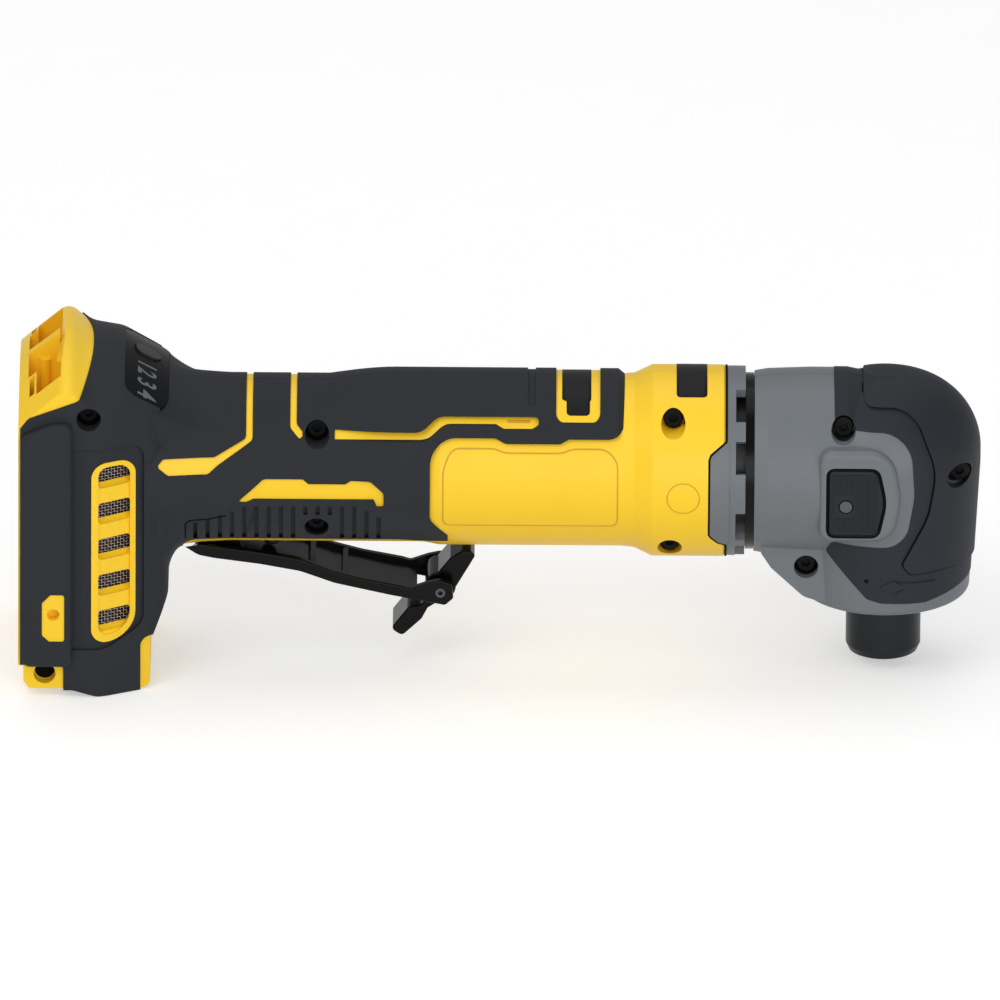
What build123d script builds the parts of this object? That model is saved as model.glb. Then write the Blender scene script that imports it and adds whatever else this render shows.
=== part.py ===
"""Cordless right-angle die grinder, built as separate pieces in one shared frame.

Millimetres, +Z up, +X towards the angle head, -Y towards the side with the lock button.
The origin is the middle of the collet's mouth.
"""
import math
import os

from build123d import *

os.makedirs("parts", exist_ok=True)

# Fits
GAP = 0.3            # between pieces that move past each other
RUN = 0.05           # radial running fit of a shaft in a bearing
EDGE = 0.15          # between mouldings that close against each other

# Motor line and stations along it
AXIS_Z = 62.9        # motor axis above the collet mouth
REAR_X = -268.0      # rear face of the battery foot
NECK_X = -222.2      # front wall of the foot
FLARE_X = -203.0     # where the flare has become the round grip
SOFT_END_X = -80.3   # front end of the soft grip
MOTOR_X = -72.2      # where the motor section reaches its full radius
SHELL_END_X = -49.4  # front end of the clamshell
COLLAR_END_X = -43.4
HEAD_X = -40.6       # rear edge of the head shell

# Barrel
GRIP_R = 25.8        # hard core under the grip
LABEL_R = 26.7       # bare core beside the rating panel
MOTOR_R = 29.7
BADGE_R = 27.7       # saddle the badge sits on
SOFT_R = 26.3        # outside of the soft grip
SWELL_R = 27.2       # palm swell, on an axis raised by SWELL_UP
SWELL_UP = 1.2
SOFT_DEPTH = 1.7     # how far the soft layer is let into the core
SOFT_PROUD = 0.5     # how far it stands out of the core on the foot
SOFT_LIP = 0.3       # and beside the rating panel
BORE_R = 22.2        # electronics bore in the grip
STATOR_R = 22.6
FAN_ROOM_R = 26.4

# Battery foot
FOOT_HALF = 35.5     # half width of the core
PAD_HALF = 39.0      # half width over the side pads
CROWN_Z = 15.0       # centre of the crowned top
SLOPE_TOP = (-236.5, 99.6)   # ends of the slope that carries the control panel
SLOPE_END = (-219.5, 90.6)
RAIL_HALF = 24.5     # half width between the battery rails
BAY_HALF = 29.0      # half width behind the rails
BAY_X = -254.6       # floor of the battery bay
LIP_X = -264.2       # inner face of the rails
BAY_TOP_Z = 82.0

# Head
HEAD_R = 28.7
NOSE_R = 26.5
HEAD_TOP_Z = 90.2
NOSE_Z = 21.6
DOME = 22.0          # radius of the head's top edge
HEAD_WALL = 3.0
GUARD_R = 11.6
GUARD_BORE_R = 9.6

# Bevel pair, apex on both axes
MODULE = 1.2
PINION_TEETH = 11
GEAR_TEETH = 15
FACE = 4.2           # tooth length along the pitch cone
TOOTH = 0.40         # tooth thickness as a share of the pitch
ADDENDUM = 0.75      # in modules
DEDENDUM = 1.25

# Lever and lock-off
LEVER_PIVOT = (-207.0, 41.5)
LEVER_HALF = 12.5
LEVER_WALL = 2.2
LOCK_PIVOT = (-137.5, 22.9)
LOCK_HALF = 7.5
PIN_R = 1.5

# Spindle lock
PRESS = 3.0
LOCK_PIN = (-12.3, 60.1)
LOCK_PIN_R = 1.9
BUTTON_FACE_Y = -30.6

# Screws
BOSS_R = 3.8         # recess the screw head sits in
SCREW_R = 1.75
HEAD_SCREW_R = 3.2

SIDE = Plane(origin=(0, 0, 0), x_dir=(1, 0, 0), z_dir=(0, -1, 0))
MOTOR_AXIS = Axis((0, 0, AXIS_Z), (1, 0, 0))

# Screw places in the side view, (x, z)
HOUSING_SCREWS = [(-246.3, 89.6), (-175.9, 78.9), (-175.9, 48.6), (-65.8, 83.5), (-66.6, 42.3)]
HEAD_SCREWS = [(-13.2, 82.0), (22.8, 66.0), (-24.3, 35.4)]


def face_of(points, radius=0.0):
    """A face from a closed outline with rounded corners (one radius or one for each)."""
    if radius == 0.0:
        return make_face(Polyline(*points, close=True))
    return make_face(FilletPolyline(*points, radius=radius, close=True))


def side_prism(points, y0, y1, radius=0.0):
    """An outline in the side view, run from y0 to y1."""
    sketch = face_of(points, radius)
    body = extrude(SIDE * sketch, amount=abs(y1 - y0))
    return Pos(0, max(y0, y1), 0) * body


def round_x(points, lift=0.0):
    """A body turned about the motor axis from (x, radius) points."""
    z = AXIS_Z + lift
    outline = [(points[0][0], z)] + [(x, z + r) for x, r in points] + [(points[-1][0], z)]
    return revolve(SIDE * face_of(outline), axis=Axis((0, 0, z), (1, 0, 0)))


def round_z(points):
    """A body turned about the spindle axis from (radius, z) points."""
    outline = [(0, points[0][1])] + list(points) + [(0, points[-1][1])]
    return revolve(SIDE * face_of(outline), axis=Axis.Z)


def ring_x(x0, x1, outer, inner):
    """A ring about the motor axis."""
    return round_x([(x0, outer), (x1, outer)]) - round_x([(x0 - 1, inner), (x1 + 1, inner)])


def ring_z(z0, z1, outer, inner):
    """A ring about the spindle axis."""
    return round_z([(outer, z0), (outer, z1)]) - round_z([(inner, z0 - 1), (inner, z1 + 1)])


def rod_y(x, z, radius, y0, y1):
    """A cylinder across the tool from y0 to y1."""
    return Pos(x, max(y0, y1), z) * extrude(SIDE * Circle(radius), amount=abs(y1 - y0))


def block(x0, x1, y0, y1, z0, z1):
    """A plain block between two corners."""
    middle = ((x0 + x1) / 2, (y0 + y1) / 2, (z0 + z1) / 2)
    return Pos(*middle) * Box(abs(x1 - x0), abs(y1 - y0), abs(z1 - z0))


def mirrored(shape):
    """The same piece on the far side."""
    return mirror(shape, about=Plane.XZ)


def near(shape, gap=EDGE / 2):
    """The half of a body on the near side of the parting plane."""
    return shape & block(-400, 200, -200, -gap, -200, 300)


def group(*shapes):
    """Several solids kept as one piece."""
    solids = []
    for shape in shapes:
        solids += list(shape.solids())
    return Compound(children=solids)


def soften(shape, edges, radius):
    """Round the given edges, halving the radius where the first is too large."""
    for size in (radius, radius / 2, radius / 4):
        try:
            result = fillet(edges, size)
            if result.is_valid:
                return result
        except Exception:
            continue
    return shape


def save(name, shape):
    """Write one piece."""
    solids = shape.solids()
    body = solids[0] if len(solids) == 1 else Compound(children=list(solids))
    export_step(body, f"parts/{name}.step")
    print(f"{name}: {len(solids)} solid(s), {sum(s.volume for s in solids):.0f} mm3")


# Outside forms of the handle


def foot(inset, rear=REAR_X):
    """The battery foot: a crowned top, flat sides and a rounded front wall."""
    top = [
        (REAR_X - 8, 50), (REAR_X - 8, 89.0), (-253.4, 106.8), (-246.4, 101.2),
        SLOPE_TOP, SLOPE_END, (-209, 81.0), (-209, 50),
    ]
    low = [
        (REAR_X - 8, 80), (REAR_X - 8, -0.4), (-251, -0.4), (-243.5, -2.6), (-227.2, -2.6),
        (-227.2, 13.5), (NECK_X, 26.0), (NECK_X, 31.5), (-209, 36.5), (-209, 80),
    ]
    plan = [
        (rear, -FOOT_HALF), (-243, -FOOT_HALF), (NECK_X, -25),
        (NECK_X, 25), (-243, FOOT_HALF), (rear, FOOT_HALF),
    ]
    top_face = offset(face_of(top, (0, 0, 4, 9, 10, 12, 0, 0)), amount=-inset)
    low_face = offset(face_of(low, (0, 0, 6, 6, 2, 6, 5, 6, 0, 0)), amount=-inset)
    plan_face = offset(face_of(plan, (0, 16, 11, 11, 16, 0)), amount=-inset)
    crown = revolve(SIDE * top_face, axis=Axis((0, 0, CROWN_Z), (1, 0, 0)), revolution_arc=84)
    crown = crown.rotate(Axis((0, 0, CROWN_Z), (1, 0, 0)), -42)
    lower = extrude(SIDE * low_face, amount=60, both=True)
    column = Pos(0, 0, -20) * extrude(plan_face, amount=150)
    body = (crown & column) + (lower & column)
    return body


def barrel(inset):
    """The round core: a flare out of the foot, the grip, the bare waist and the motor section."""
    return round_x([
        (-236, 30.2 - inset), (-222, 27.8 - inset), (-212, 26.4 - inset),
        (FLARE_X, GRIP_R - inset), (-143, GRIP_R - inset), (-138, LABEL_R - inset),
        (-81.5, LABEL_R - inset), (-77.7, LABEL_R + 0.4 - inset), (MOTOR_X, MOTOR_R - inset),
        (SHELL_END_X - 0.8, MOTOR_R - inset), (SHELL_END_X, MOTOR_R - 0.8 - inset),
    ])


core = foot(0) + barrel(0)
under_soft = foot(SOFT_DEPTH, REAR_X - 4) + barrel(SOFT_DEPTH)
soft_barrel = round_x([
    (-236, 30.2 + SOFT_PROUD), (-222, 27.8 + SOFT_PROUD), (-212, 26.4 + SOFT_PROUD),
    (FLARE_X, SOFT_R), (-151, SOFT_R), (-141.5, LABEL_R + SOFT_LIP),
    (SOFT_END_X - 2, LABEL_R + SOFT_LIP), (SOFT_END_X, LABEL_R + SOFT_LIP - 1.0),
])
# The palm swell rises out of the grip in a smooth curve
SWELL_Z = AXIS_Z + SWELL_UP
swell_start = (-178, SWELL_Z + SWELL_R - 2.8)
swell_full = (-151, SWELL_Z + SWELL_R)
swell_rise = Spline(swell_start, swell_full, tangents=((1, 0.12), (1, 0)))
swell_rest = Polyline(
    swell_full, (SOFT_END_X - 2.5, SWELL_Z + SWELL_R), (SOFT_END_X, SWELL_Z + SWELL_R - 2.0),
    (SOFT_END_X, SWELL_Z), (swell_start[0], SWELL_Z), swell_start,
)
swell = revolve(SIDE * make_face([swell_rise, swell_rest]), axis=Axis((0, 0, SWELL_Z), (1, 0, 0)))
over_soft = foot(-SOFT_PROUD) + soft_barrel + swell

# Where the soft layer lies, in the side view
soft_outline = [
    (-267.4, 7.6), (-254, 7.6), (-254, -6), (-230.2, -6), (-230.2, 14.5), (-221, 14.5),
    (-221, 33), (-215.5, 42.4), (-135.3, 42.4), (-135.3, 45.5), (-140.9, 52),
    (-140.9, 79.0), (-120.7, 79.0), (-117.6, 77.5), (-100.6, 77.5),
    (-98.1, 78.8), (-80.0, 78.8), (-80.0, 112), (-244.8, 112),
    (-244.8, 101.5), (-249.5, 95.6), (-264.9, 89.8), (-267.4, 86.4),
]
soft_radii = [
    0, 1.5, 0, 0, 3, 0, 0, 4, 0, 1, 4, 8, 2, 2, 2, 2, 6, 0, 0, 3, 5, 3, 0,
]
# Hard inlays that show through it: two bands over the top, a brow line, a bare strip
inlay_rear = [
    (-197.8, 112), (-197.8, 78.0), (-207.6, 72.8), (-223.4, 72.8), (-225.4, 70.6),
    (-221.8, 67.6), (-209.6, 67.6), (-206.4, 70.4), (-195.8, 77.4), (-195.8, 112),
]
inlay_front = [
    (-184.2, 112), (-184.2, 80.6), (-181.2, 77.6), (-179.8, 79.2), (-182.2, 81.6),
    (-182.2, 112),
]
inlay_brow = [
    (-170.4, 80.3), (-143.6, 80.3), (-138.6, 84.3), (-107.4, 84.3), (-107.4, 81.9),
    (-109.4, 81.0), (-118.2, 81.0), (-120.6, 82.1), (-136.6, 82.1), (-142.0, 77.7),
    (-170.4, 77.7),
]
inlay_strip = [
    (-200.4, 58.3), (-192.4, 66.2), (-180.2, 66.2), (-178.5, 64.7), (-167.0, 64.7),
    (-165.4, 65.8), (-159.3, 65.8), (-155.2, 62.0), (-155.2, 57.0), (-157.3, 57.0),
    (-158.2, 59.5), (-195.4, 59.5), (-197.6, 58.3),
]
badge_outline = [(-102.0, 112), (-102.0, 83.0), (-88.4, 83.0), (-88.4, 112)]
patch_outline = [
    (-260.6, 18.7), (-258.4, 16.6), (-253.7, 16.6), (-253.7, 32.2), (-258.0, 32.2),
    (-260.6, 29.5),
]
vent_outline = [(-245.4, 14.8), (-231.8, 14.8), (-231.8, 74.6), (-245.4, 74.6)]
VENT_ROWS = 5
VENT_PITCH = 11.95
VENT_FIRST_Z = 21.6
VENT_HALF_H = 3.5
VENT_X = (-243.3, -233.5)

soft_face = face_of(soft_outline, soft_radii)
soft_face -= face_of(inlay_rear, (0, 1.5, 2.5, 1.2, 1.2, 1.2, 2.0, 2.5, 1.5, 0))
soft_face -= face_of(inlay_front, (0, 1.5, 0.6, 0.6, 1.5, 0))
soft_face -= face_of(inlay_brow, (0, 6, 6, 0.8, 0.8, 1, 1, 1, 6, 6, 0))
soft_face -= face_of(inlay_strip, (0.5, 2.5, 0.7, 0.7, 0.7, 0.7, 2.5, 2.0, 0.5, 0.5, 0.7, 0.7, 0.4))
soft_face -= face_of(badge_outline, (0, 2.4, 2.4, 0))
soft_face -= face_of(patch_outline, 0.8)
soft_face -= face_of(vent_outline, (4.5, 9.0, 5.0, 5.0))
soft_slab = extrude(SIDE * soft_face, amount=80)

# Grip ribs: upright grooves in the lower side of the soft grip
RIB_PITCH = 3.78
RIB_GROOVE = 1.3
RIB_COUNT = 16
RIB_FIRST_X = -213.4
RIB_DEPTH = 1.0
ribs = None
for i in range(RIB_COUNT):
    x = RIB_FIRST_X + i * RIB_PITCH
    top = 57.0 if x > -197 else 57.0 - (-197 - x) * 0.38
    top = min(top, 57.0 - max(0.0, x + 163) * 0.6)
    over_well = abs(x - HOUSING_SCREWS[2][0]) < BOSS_R + 1.4
    low = HOUSING_SCREWS[2][1] + BOSS_R + 1.4 if over_well else 43.2
    groove = block(x - RIB_GROOVE / 2, x + RIB_GROOVE / 2, -60, 0, low, top)
    ribs = groove if ribs is None else ribs + groove
rib_shell = ribs - round_x([(-232, SOFT_R - RIB_DEPTH), (-120, SOFT_R - RIB_DEPTH)])

# Control panel on the rear slope
panel_plan = [(-235.4, -26.2), (-221.6, -25.6), (-221.6, 25.6), (-235.4, 26.2)]
PANEL_R = 4.0
panel_prism = Pos(0, 0, 78) * extrude(face_of(panel_plan, PANEL_R), amount=40)
SLOPE = math.atan2(SLOPE_TOP[1] - SLOPE_END[1], SLOPE_END[0] - SLOPE_TOP[0])
SLOPE_MID = Vector(-228.6, 0, SLOPE_TOP[1] - (-228.6 - SLOPE_TOP[0]) * math.tan(SLOPE))
PANEL_PLANE = Plane(
    origin=SLOPE_MID,
    x_dir=(math.cos(SLOPE), 0, -math.sin(SLOPE)),
    z_dir=(math.sin(SLOPE), 0, math.cos(SLOPE)),
)
BUTTON_Y = 4.6
BUTTON_SIZE = (8.6, 7.4)
button_spot = PANEL_PLANE * Pos(0, BUTTON_Y, 0)
button_face_up = RectangleRounded(BUTTON_SIZE[0], BUTTON_SIZE[1], 3.0)
button_slot = button_spot * Pos(0, 0, -8) * extrude(offset(button_face_up, amount=GAP), amount=16)

panel_skin = foot(-0.3) - foot(SOFT_DEPTH + 0.8)
control_panel = panel_skin & panel_prism
control_panel -= soft_barrel
control_panel = max(control_panel.solids(), key=lambda s: s.volume)
control_panel -= button_slot
panel_room = (panel_prism & (foot(-3) - foot(SOFT_DEPTH + 0.8))) - soft_barrel

# Soft grip, near side: let into the core, with a raised pad on the foot
pad_outline = [(-267.4, 7.6), (-251.4, 7.6), (-251.4, 89.0), (-258, 88.6), (-267.4, 84.4)]
pad_face = face_of(pad_outline, (3.5, 2, 2.5, 6, 3.5))
pad = Pos(0, -33, 0) * extrude(SIDE * pad_face, amount=PAD_HALF - 33)
pad = soften(pad, pad.faces().sort_by(Axis.Y)[0].edges(), 1.8)
pad -= Pos(0, -20, 0) * extrude(SIDE * face_of(patch_outline, 0.8), amount=40)
soft = (near(over_soft) & soft_slab) - near(under_soft)
soft += pad - under_soft
soft -= rib_shell + panel_room
# A shallow recess round the louvred vent
RECESS = 0.9
recess_outline = [
    (-251.4, 12.6), (-241.0, 12.6), (-229.2, 19.0), (-229.2, 79.6), (-251.4, 79.6),
]
recess = extrude(SIDE * face_of(recess_outline, (0, 10, 6, 5, 0)), amount=60)
recess = (recess & soft_slab & (foot(-3) - foot(RECESS - SOFT_PROUD))) - pad
soft -= recess
# An upright groove round the top of the palm swell
GROOVE_X = (-110.8, -108.4)
GROOVE_DEPTH = 0.6
swell_groove = block(GROOVE_X[0], GROOVE_X[1], -60, 0, AXIS_Z + 24.0, 120)
swell_groove -= round_x([
    (GROOVE_X[0] - 1, SWELL_R - GROOVE_DEPTH), (GROOVE_X[1] + 1, SWELL_R - GROOVE_DEPTH),
], SWELL_UP)
soft -= swell_groove
soft = Compound(children=[s for s in soft.solids() if s.volume > 20.0])

# Clamshell, near half
patch = Pos(0, -30, 0) * extrude(SIDE * face_of(patch_outline, 0.8), amount=PAD_HALF - 30.3)
patch -= rod_y(-257.1, 25.5, 1.9, -50, -35.0)
saddle = round_x([(-102.0, BADGE_R), (-88.4, BADGE_R)])
saddle &= extrude(SIDE * face_of(badge_outline, (0, 2.4, 2.4, 0)), amount=80)
shell = near(core) + near(patch) + near(saddle)
shell -= soft + near(recess)
shell -= near(rib_shell)
# The lower rear corner stands in from the pad
shell -= side_prism([
    (REAR_X - 2, 7.2), (REAR_X + 1.6, 7.2), (REAR_X + 1.6, 2.0), (REAR_X + 3.8, -1.0),
    (REAR_X + 3.8, -8), (REAR_X - 2, -8),
], -60, 0)
shell -= near(panel_room)
shell -= near(button_slot)

# Rooms inside
LEAD_R = 1.0
LEAD_Z = AXIS_Z + 11.1
electronics = Pos(0, 0, 14) * extrude(
    face_of([(-251.4, -29.5), (-226, -26), (-226, 26), (-251.4, 29.5)], 5), amount=70)
grip_bore = round_x([(-228, BORE_R), (-117.5, BORE_R)])
motor_room = round_x([(-107, STATOR_R), (-62.5, STATOR_R)])
motor_room += round_x([(-62.6, FAN_ROOM_R), (SHELL_END_X + 1, FAN_ROOM_R)])
rear_seat = round_x([(-114, 9.5), (-106, 9.5)]) + round_x([(-118, 6.0), (-106, 6.0)])
lead_way = block(-119, -106, -5.6, 5.6, LEAD_Z - 1.3, LEAD_Z + 1.3)
rooms = electronics + grip_bore + motor_room + rear_seat + lead_way

# Battery bay, open behind and below, with a rail each side; cored pockets above it
bay = block(LIP_X, BAY_X, -BAY_HALF, BAY_HALF, -5, BAY_TOP_Z)
bay += block(REAR_X - 5, LIP_X + 1, -RAIL_HALF, RAIL_HALF, -5, BAY_TOP_Z)
POCKET_FLOOR_Z = 84.6
pocket = block(-265.2, BAY_X - 0.4, -28, -1.4, POCKET_FLOOR_Z, 120)
pocket -= block(-265.2, -262.6, -28, -17, 60, 120) - block(-264.7, -263.2, -27, -18, 60, 120)
pocket -= block(-256.4, -254, -9, -1, 60, 98)
pocket -= Pos(-260.2, -1.4, 60) * extrude(Circle(1.7), amount=36)
chamfer_cut = side_prism([(BAY_X - 1, 101), (BAY_X - 1, 120), (-249, 120)], -27, 27)
lever_slot = block(-217.6, -181.4, -9.4, 9.4, 30, 48)
terminal_window = block(-256, -250, -20, 20, 30, 64)
spaces = rooms + bay + lever_slot + terminal_window
shell -= spaces
shell -= pocket
shell -= near(chamfer_cut)
shell -= rod_y(LEVER_PIVOT[0], LEVER_PIVOT[1], PIN_R, -12.6, 12.6)

# Louvred vent in the foot wall, with a ledge for the screen behind it
SCREEN_DEPTH = 3.3   # of the screen behind the wall's outer face
LOUVRE_DEPTH = 0.9   # of the slats behind their frame
louvre_outline = [(VENT_X[0], 17.2), (VENT_X[1], 17.2), (VENT_X[1], 73.2), (VENT_X[0], 73.2)]
louvre = extrude(SIDE * face_of(louvre_outline, (3.2, 6.6, 3.6, 3.2)), amount=60)
shell -= louvre & (foot(-3) - foot(LOUVRE_DEPTH))
for row in range(VENT_ROWS):
    z = VENT_FIRST_Z + row * VENT_PITCH
    window = [
        (VENT_X[0], z - VENT_HALF_H), (VENT_X[1], z - VENT_HALF_H + 0.6),
        (VENT_X[1], z + VENT_HALF_H + 0.6), (VENT_X[0], z + VENT_HALF_H),
    ]
    shell -= side_prism(window, -50, -20, 1.2) & louvre
screen_room = block(-245.0, -232.2, -40.0, -24.0, 18.0, 76.0)
shell -= screen_room & foot(SCREEN_DEPTH - 0.1)

# Screw bosses across the parting plane
BOSS_WALL = 2.0
bosses = None
for x, z in HOUSING_SCREWS:
    post = rod_y(x, z, SCREW_R + BOSS_WALL, -32, 0)
    bosses = post if bosses is None else bosses + post
bosses = near(bosses & core) - (bay + lever_slot)
shell += bosses - soft - panel_room
# A shelf each side carries the switch
SWITCH_HALF = 8.0
SWITCH_X = (-199.0, -181.0)
shelf = block(SWITCH_X[0] - 1, SWITCH_X[1] + 1, -24, -SWITCH_HALF - EDGE, 51, 60)
shell += shelf & round_x([(-228, BORE_R + 0.8), (-117.5, BORE_R + 0.8)])
shell = max(shell.solids(), key=lambda s: s.volume)

# The exhaust collar has a tab each side that is let into the front of the clamshell
TAB_X = -54.6
TAB_DEPTH = 1.6
tab_outline = [(TAB_X, 47.5), (TAB_X, 75.6), (-50.6, 78.6), (-40, 78.6), (-40, 44.5), (-51.5, 44.5)]
tab_slab = extrude(SIDE * face_of(tab_outline, (1.5, 1.5, 1, 0, 0, 1)), amount=60, both=True)
shell -= tab_slab & ring_x(TAB_X - 1, SHELL_END_X + 2, MOTOR_R + 2, MOTOR_R - TAB_DEPTH)

right_housing = shell
left_housing = mirrored(shell) - button_slot
HEAD_SEAT = 8.0      # how far in from the side the screw heads sit
SLEEVE = 0.7
for x, z in HOUSING_SCREWS:
    reach = core & rod_y(x, z, 0.5, -60, 0)
    surface = reach.bounding_box().min.Y
    right_housing -= rod_y(x, z, BOSS_R, surface - 5, surface + HEAD_SEAT)
    right_housing -= rod_y(x, z, SCREW_R, surface, 1)
    left_housing -= rod_y(x, z, SCREW_R, -1, -surface - HEAD_SEAT)
CORNER_HOLE = (-259.8, 4.6)
right_housing -= rod_y(CORNER_HOLE[0], CORNER_HOLE[1], 3.4, -50, -31.5)
left_housing -= rod_y(CORNER_HOLE[0], CORNER_HOLE[1], 3.4, 50, 31.5)
# The soft layer also lines the screw wells it crosses
soft_near = soft
for x, z in HOUSING_SCREWS[:3]:
    surface = (core & rod_y(x, z, 0.5, -60, 0)).bounding_box().min.Y
    sleeve = rod_y(x, z, BOSS_R + SLEEVE, surface - 6, surface + HEAD_SEAT - EDGE)
    right_housing -= sleeve
    soft_near = soft_near + (sleeve & over_soft) - rod_y(x, z, BOSS_R, -60, 0)

right_housing = max(right_housing.solids(), key=lambda s: s.volume)
save("right_housing", right_housing)
save("left_housing", left_housing)
save("right_soft_grip", soft_near)
save("left_soft_grip", mirrored(soft))
save("control_panel", control_panel)


collar = ring_x(SHELL_END_X + EDGE, COLLAR_END_X, MOTOR_R - 0.3, FAN_ROOM_R)
collar += tab_slab & ring_x(TAB_X, SHELL_END_X + 1, MOTOR_R, MOTOR_R - TAB_DEPTH)
# Exhaust notches in its front edge: (middle, half width) in degrees up from the side
NOTCHES = [(58.5, 16.5), (23.5, 11.5), (-23.5, 10.0), (-58.0, 12.0)]
for middle, half in NOTCHES:
    wedge_r = 40.0
    wedge = [(0, 0)]
    for step in range(5):
        a = math.radians(middle - half + step * half / 2)
        wedge.append((wedge_r * math.cos(a), wedge_r * math.sin(a)))
    for sign in (1, -1):
        plane = Plane(origin=(-46.4, 0, AXIS_Z), x_dir=(0, -sign, 0), z_dir=(sign, 0, 0))
        cutter = extrude(plane * face_of(wedge), amount=sign * 6)
        collar -= cutter
collar = max(collar.solids(), key=lambda s: s.volume)
save("exhaust_collar", collar)
save("baffle_ring", ring_x(COLLAR_END_X + EDGE, HEAD_X - EDGE, 27.4, 23.8))


# Head


def head(inset):
    """The elbow: a domed upright barrel, the motor line's barrel and a web under it."""
    upright = [(0, NOSE_Z + inset), (NOSE_R - inset, NOSE_Z + inset), (HEAD_R - inset, 64),
               (HEAD_R - inset, HEAD_TOP_Z - inset), (0, HEAD_TOP_Z - inset)]
    turned = revolve(SIDE * face_of(upright, (0, 2, 20, DOME - inset, 0)), axis=Axis.Z)
    rear = HEAD_X + min(inset, 0.6)
    level = round_x([(rear, 28.0 - inset), (-36.5, 28.7 - inset), (-24, 29.2 - inset),
                     (-12, 29.2 - inset), (-2, 27.2 - inset)])
    web = [(-38.4, 50), (-38.4, 40.0 + inset), (-35.2, 35.0 + inset), (-25.0, 25.4 + inset),
           (-19.0, NOSE_Z + 1.9 + inset), (-5, NOSE_Z + 0.4 + inset), (-5, 50)]
    keel = extrude(SIDE * face_of(web, (0, 2, 4, 6, 6, 0, 0)), amount=19.5 - inset, both=True)
    return turned + level + keel


head_body = head(0)
head_room = head(HEAD_WALL)
# The flat boss round the lock button, near side only
boss_outline = [(-20.5, 48.0), (2.2, 48.0), (4.8, 62), (2.2, 78.0), (-20.5, 78.0)]
boss_face = face_of(boss_outline, (4, 7, 20, 9, 4))
lock_boss = Pos(0, -20, 0) * extrude(SIDE * boss_face, amount=10.4)
lock_boss = soften(lock_boss, lock_boss.faces().sort_by(Axis.Y)[0].edges(), 2.0)

# Soft head cover: a lower skin and a raised pad over the outer corner
skin_outline = [
    (-16.6, 110), (-15.8, 82.2), (7.6, 82.2), (9.0, 62.0), (6.2, 45.3),
    (-16.6, 45.3), (-18.4, 41.5), (-5.6, 27.6), (-1.4, 26.4), (12.6, 25.6),
    (20.0, 27.0), (40, 31), (40, 110),
]
skin_radii = [0, 1, 10, 24, 8, 1.2, 1.2, 2, 3, 6, 3, 0, 0]
pad_top = [
    (-7, 110), (-7, 88.2), (8.6, 88.2), (16.0, 70.0), (13.6, 55.0),
    (5.4, 39.4), (8.0, 36.0), (19.0, 36.0), (45, 32.6), (45, 110),
]
pad_radii = [0, 2.5, 11, 20, 20, 2, 2.5, 8, 0, 0]
PAD_PROUD = 0.9
skin_slab = extrude(SIDE * face_of(skin_outline, skin_radii), amount=60)
pad_slab = extrude(SIDE * face_of(pad_top, pad_radii), amount=60)
head_soft = near(head(-0.2)) & skin_slab
head_soft += near(head(-PAD_PROUD)) & pad_slab
head_soft -= head(SOFT_DEPTH)
head_soft = max(head_soft.solids(), key=lambda s: s.volume)

cover = near(head_body) - head_soft - head_room
cover -= round_z([(13.2, 0), (13.2, 30)])
cover -= round_x([(-50, 25.2), (-36, 25.2)])
for x, z in HEAD_SCREWS:
    cover += near(rod_y(x, z, SCREW_R + BOSS_WALL, -26, 0) & head_body) - head_soft
cover = max(cover.solids(), key=lambda s: s.volume)
right_cover = cover + (near(lock_boss) - head_soft - head_room)
left_cover = mirrored(cover)
right_soft = head_soft
left_soft = mirrored(head_soft)

# Lock button: a plate in the boss, its pin and a return spring
button_outline = [
    (-17.6, 50.4), (-2.6, 50.4), (-0.3, 61.2), (-2.6, 72.0), (-17.6, 72.0),
]
button_radii = (1.5, 3, 14, 3, 1.5)
button_face = face_of(button_outline, button_radii)
BUTTON_BACK_Y = -24.2
LIP_Y = -25.8        # the flange rests against the boss here
flange_face = offset(button_face, amount=1.2)
button_way = Pos(0, LIP_Y, 0) * extrude(SIDE * offset(button_face, amount=GAP), amount=20)
flange_depth = BUTTON_BACK_Y + PRESS + GAP - LIP_Y
flange_way = Pos(0, LIP_Y + flange_depth, 0) * extrude(
    SIDE * offset(button_face, amount=1.2 + GAP), amount=flange_depth)
button_room = button_way + flange_way
right_cover -= button_room
lock_button = Pos(0, LIP_Y, 0) * extrude(SIDE * button_face, amount=LIP_Y - BUTTON_FACE_Y)
lock_button = soften(lock_button, lock_button.faces().sort_by(Axis.Y)[0].edges(), 0.8)
lock_button += Pos(0, BUTTON_BACK_Y, 0) * extrude(SIDE * flange_face, amount=BUTTON_BACK_Y - LIP_Y)
PIN_TIP_Y = -8.6
right_cover -= rod_y(LOCK_PIN[0], LOCK_PIN[1], LOCK_PIN_R + GAP, -40, 0)
lock_button -= rod_y(LOCK_PIN[0], LOCK_PIN[1], LOCK_PIN_R, -40, 0)
lock_pin = rod_y(LOCK_PIN[0], LOCK_PIN[1], LOCK_PIN_R, BUTTON_FACE_Y - 0.1, PIN_TIP_Y)

for x, z in HEAD_SCREWS:
    reach = head_body & rod_y(x, z, 0.5, -60, 0)
    surface = reach.bounding_box().min.Y
    right_cover -= rod_y(x, z, BOSS_R, surface - 5, surface + 6)
    right_cover -= rod_y(x, z, SCREW_R, surface, 1)
    right_soft = right_soft - rod_y(x, z, BOSS_R, -60, 0)
    left_cover -= rod_y(x, z, SCREW_R, -1, -surface - 6)
right_cover = max(right_cover.solids(), key=lambda s: s.volume)
left_cover = max(left_cover.solids(), key=lambda s: s.volume)
save("right_head_shell", right_cover)
save("left_head_shell", left_cover)
save("right_head_cover", right_soft)
save("left_head_cover", left_soft)
save("spindle_lock_button", lock_button)
save("spindle_lock_pin", lock_pin)

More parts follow.
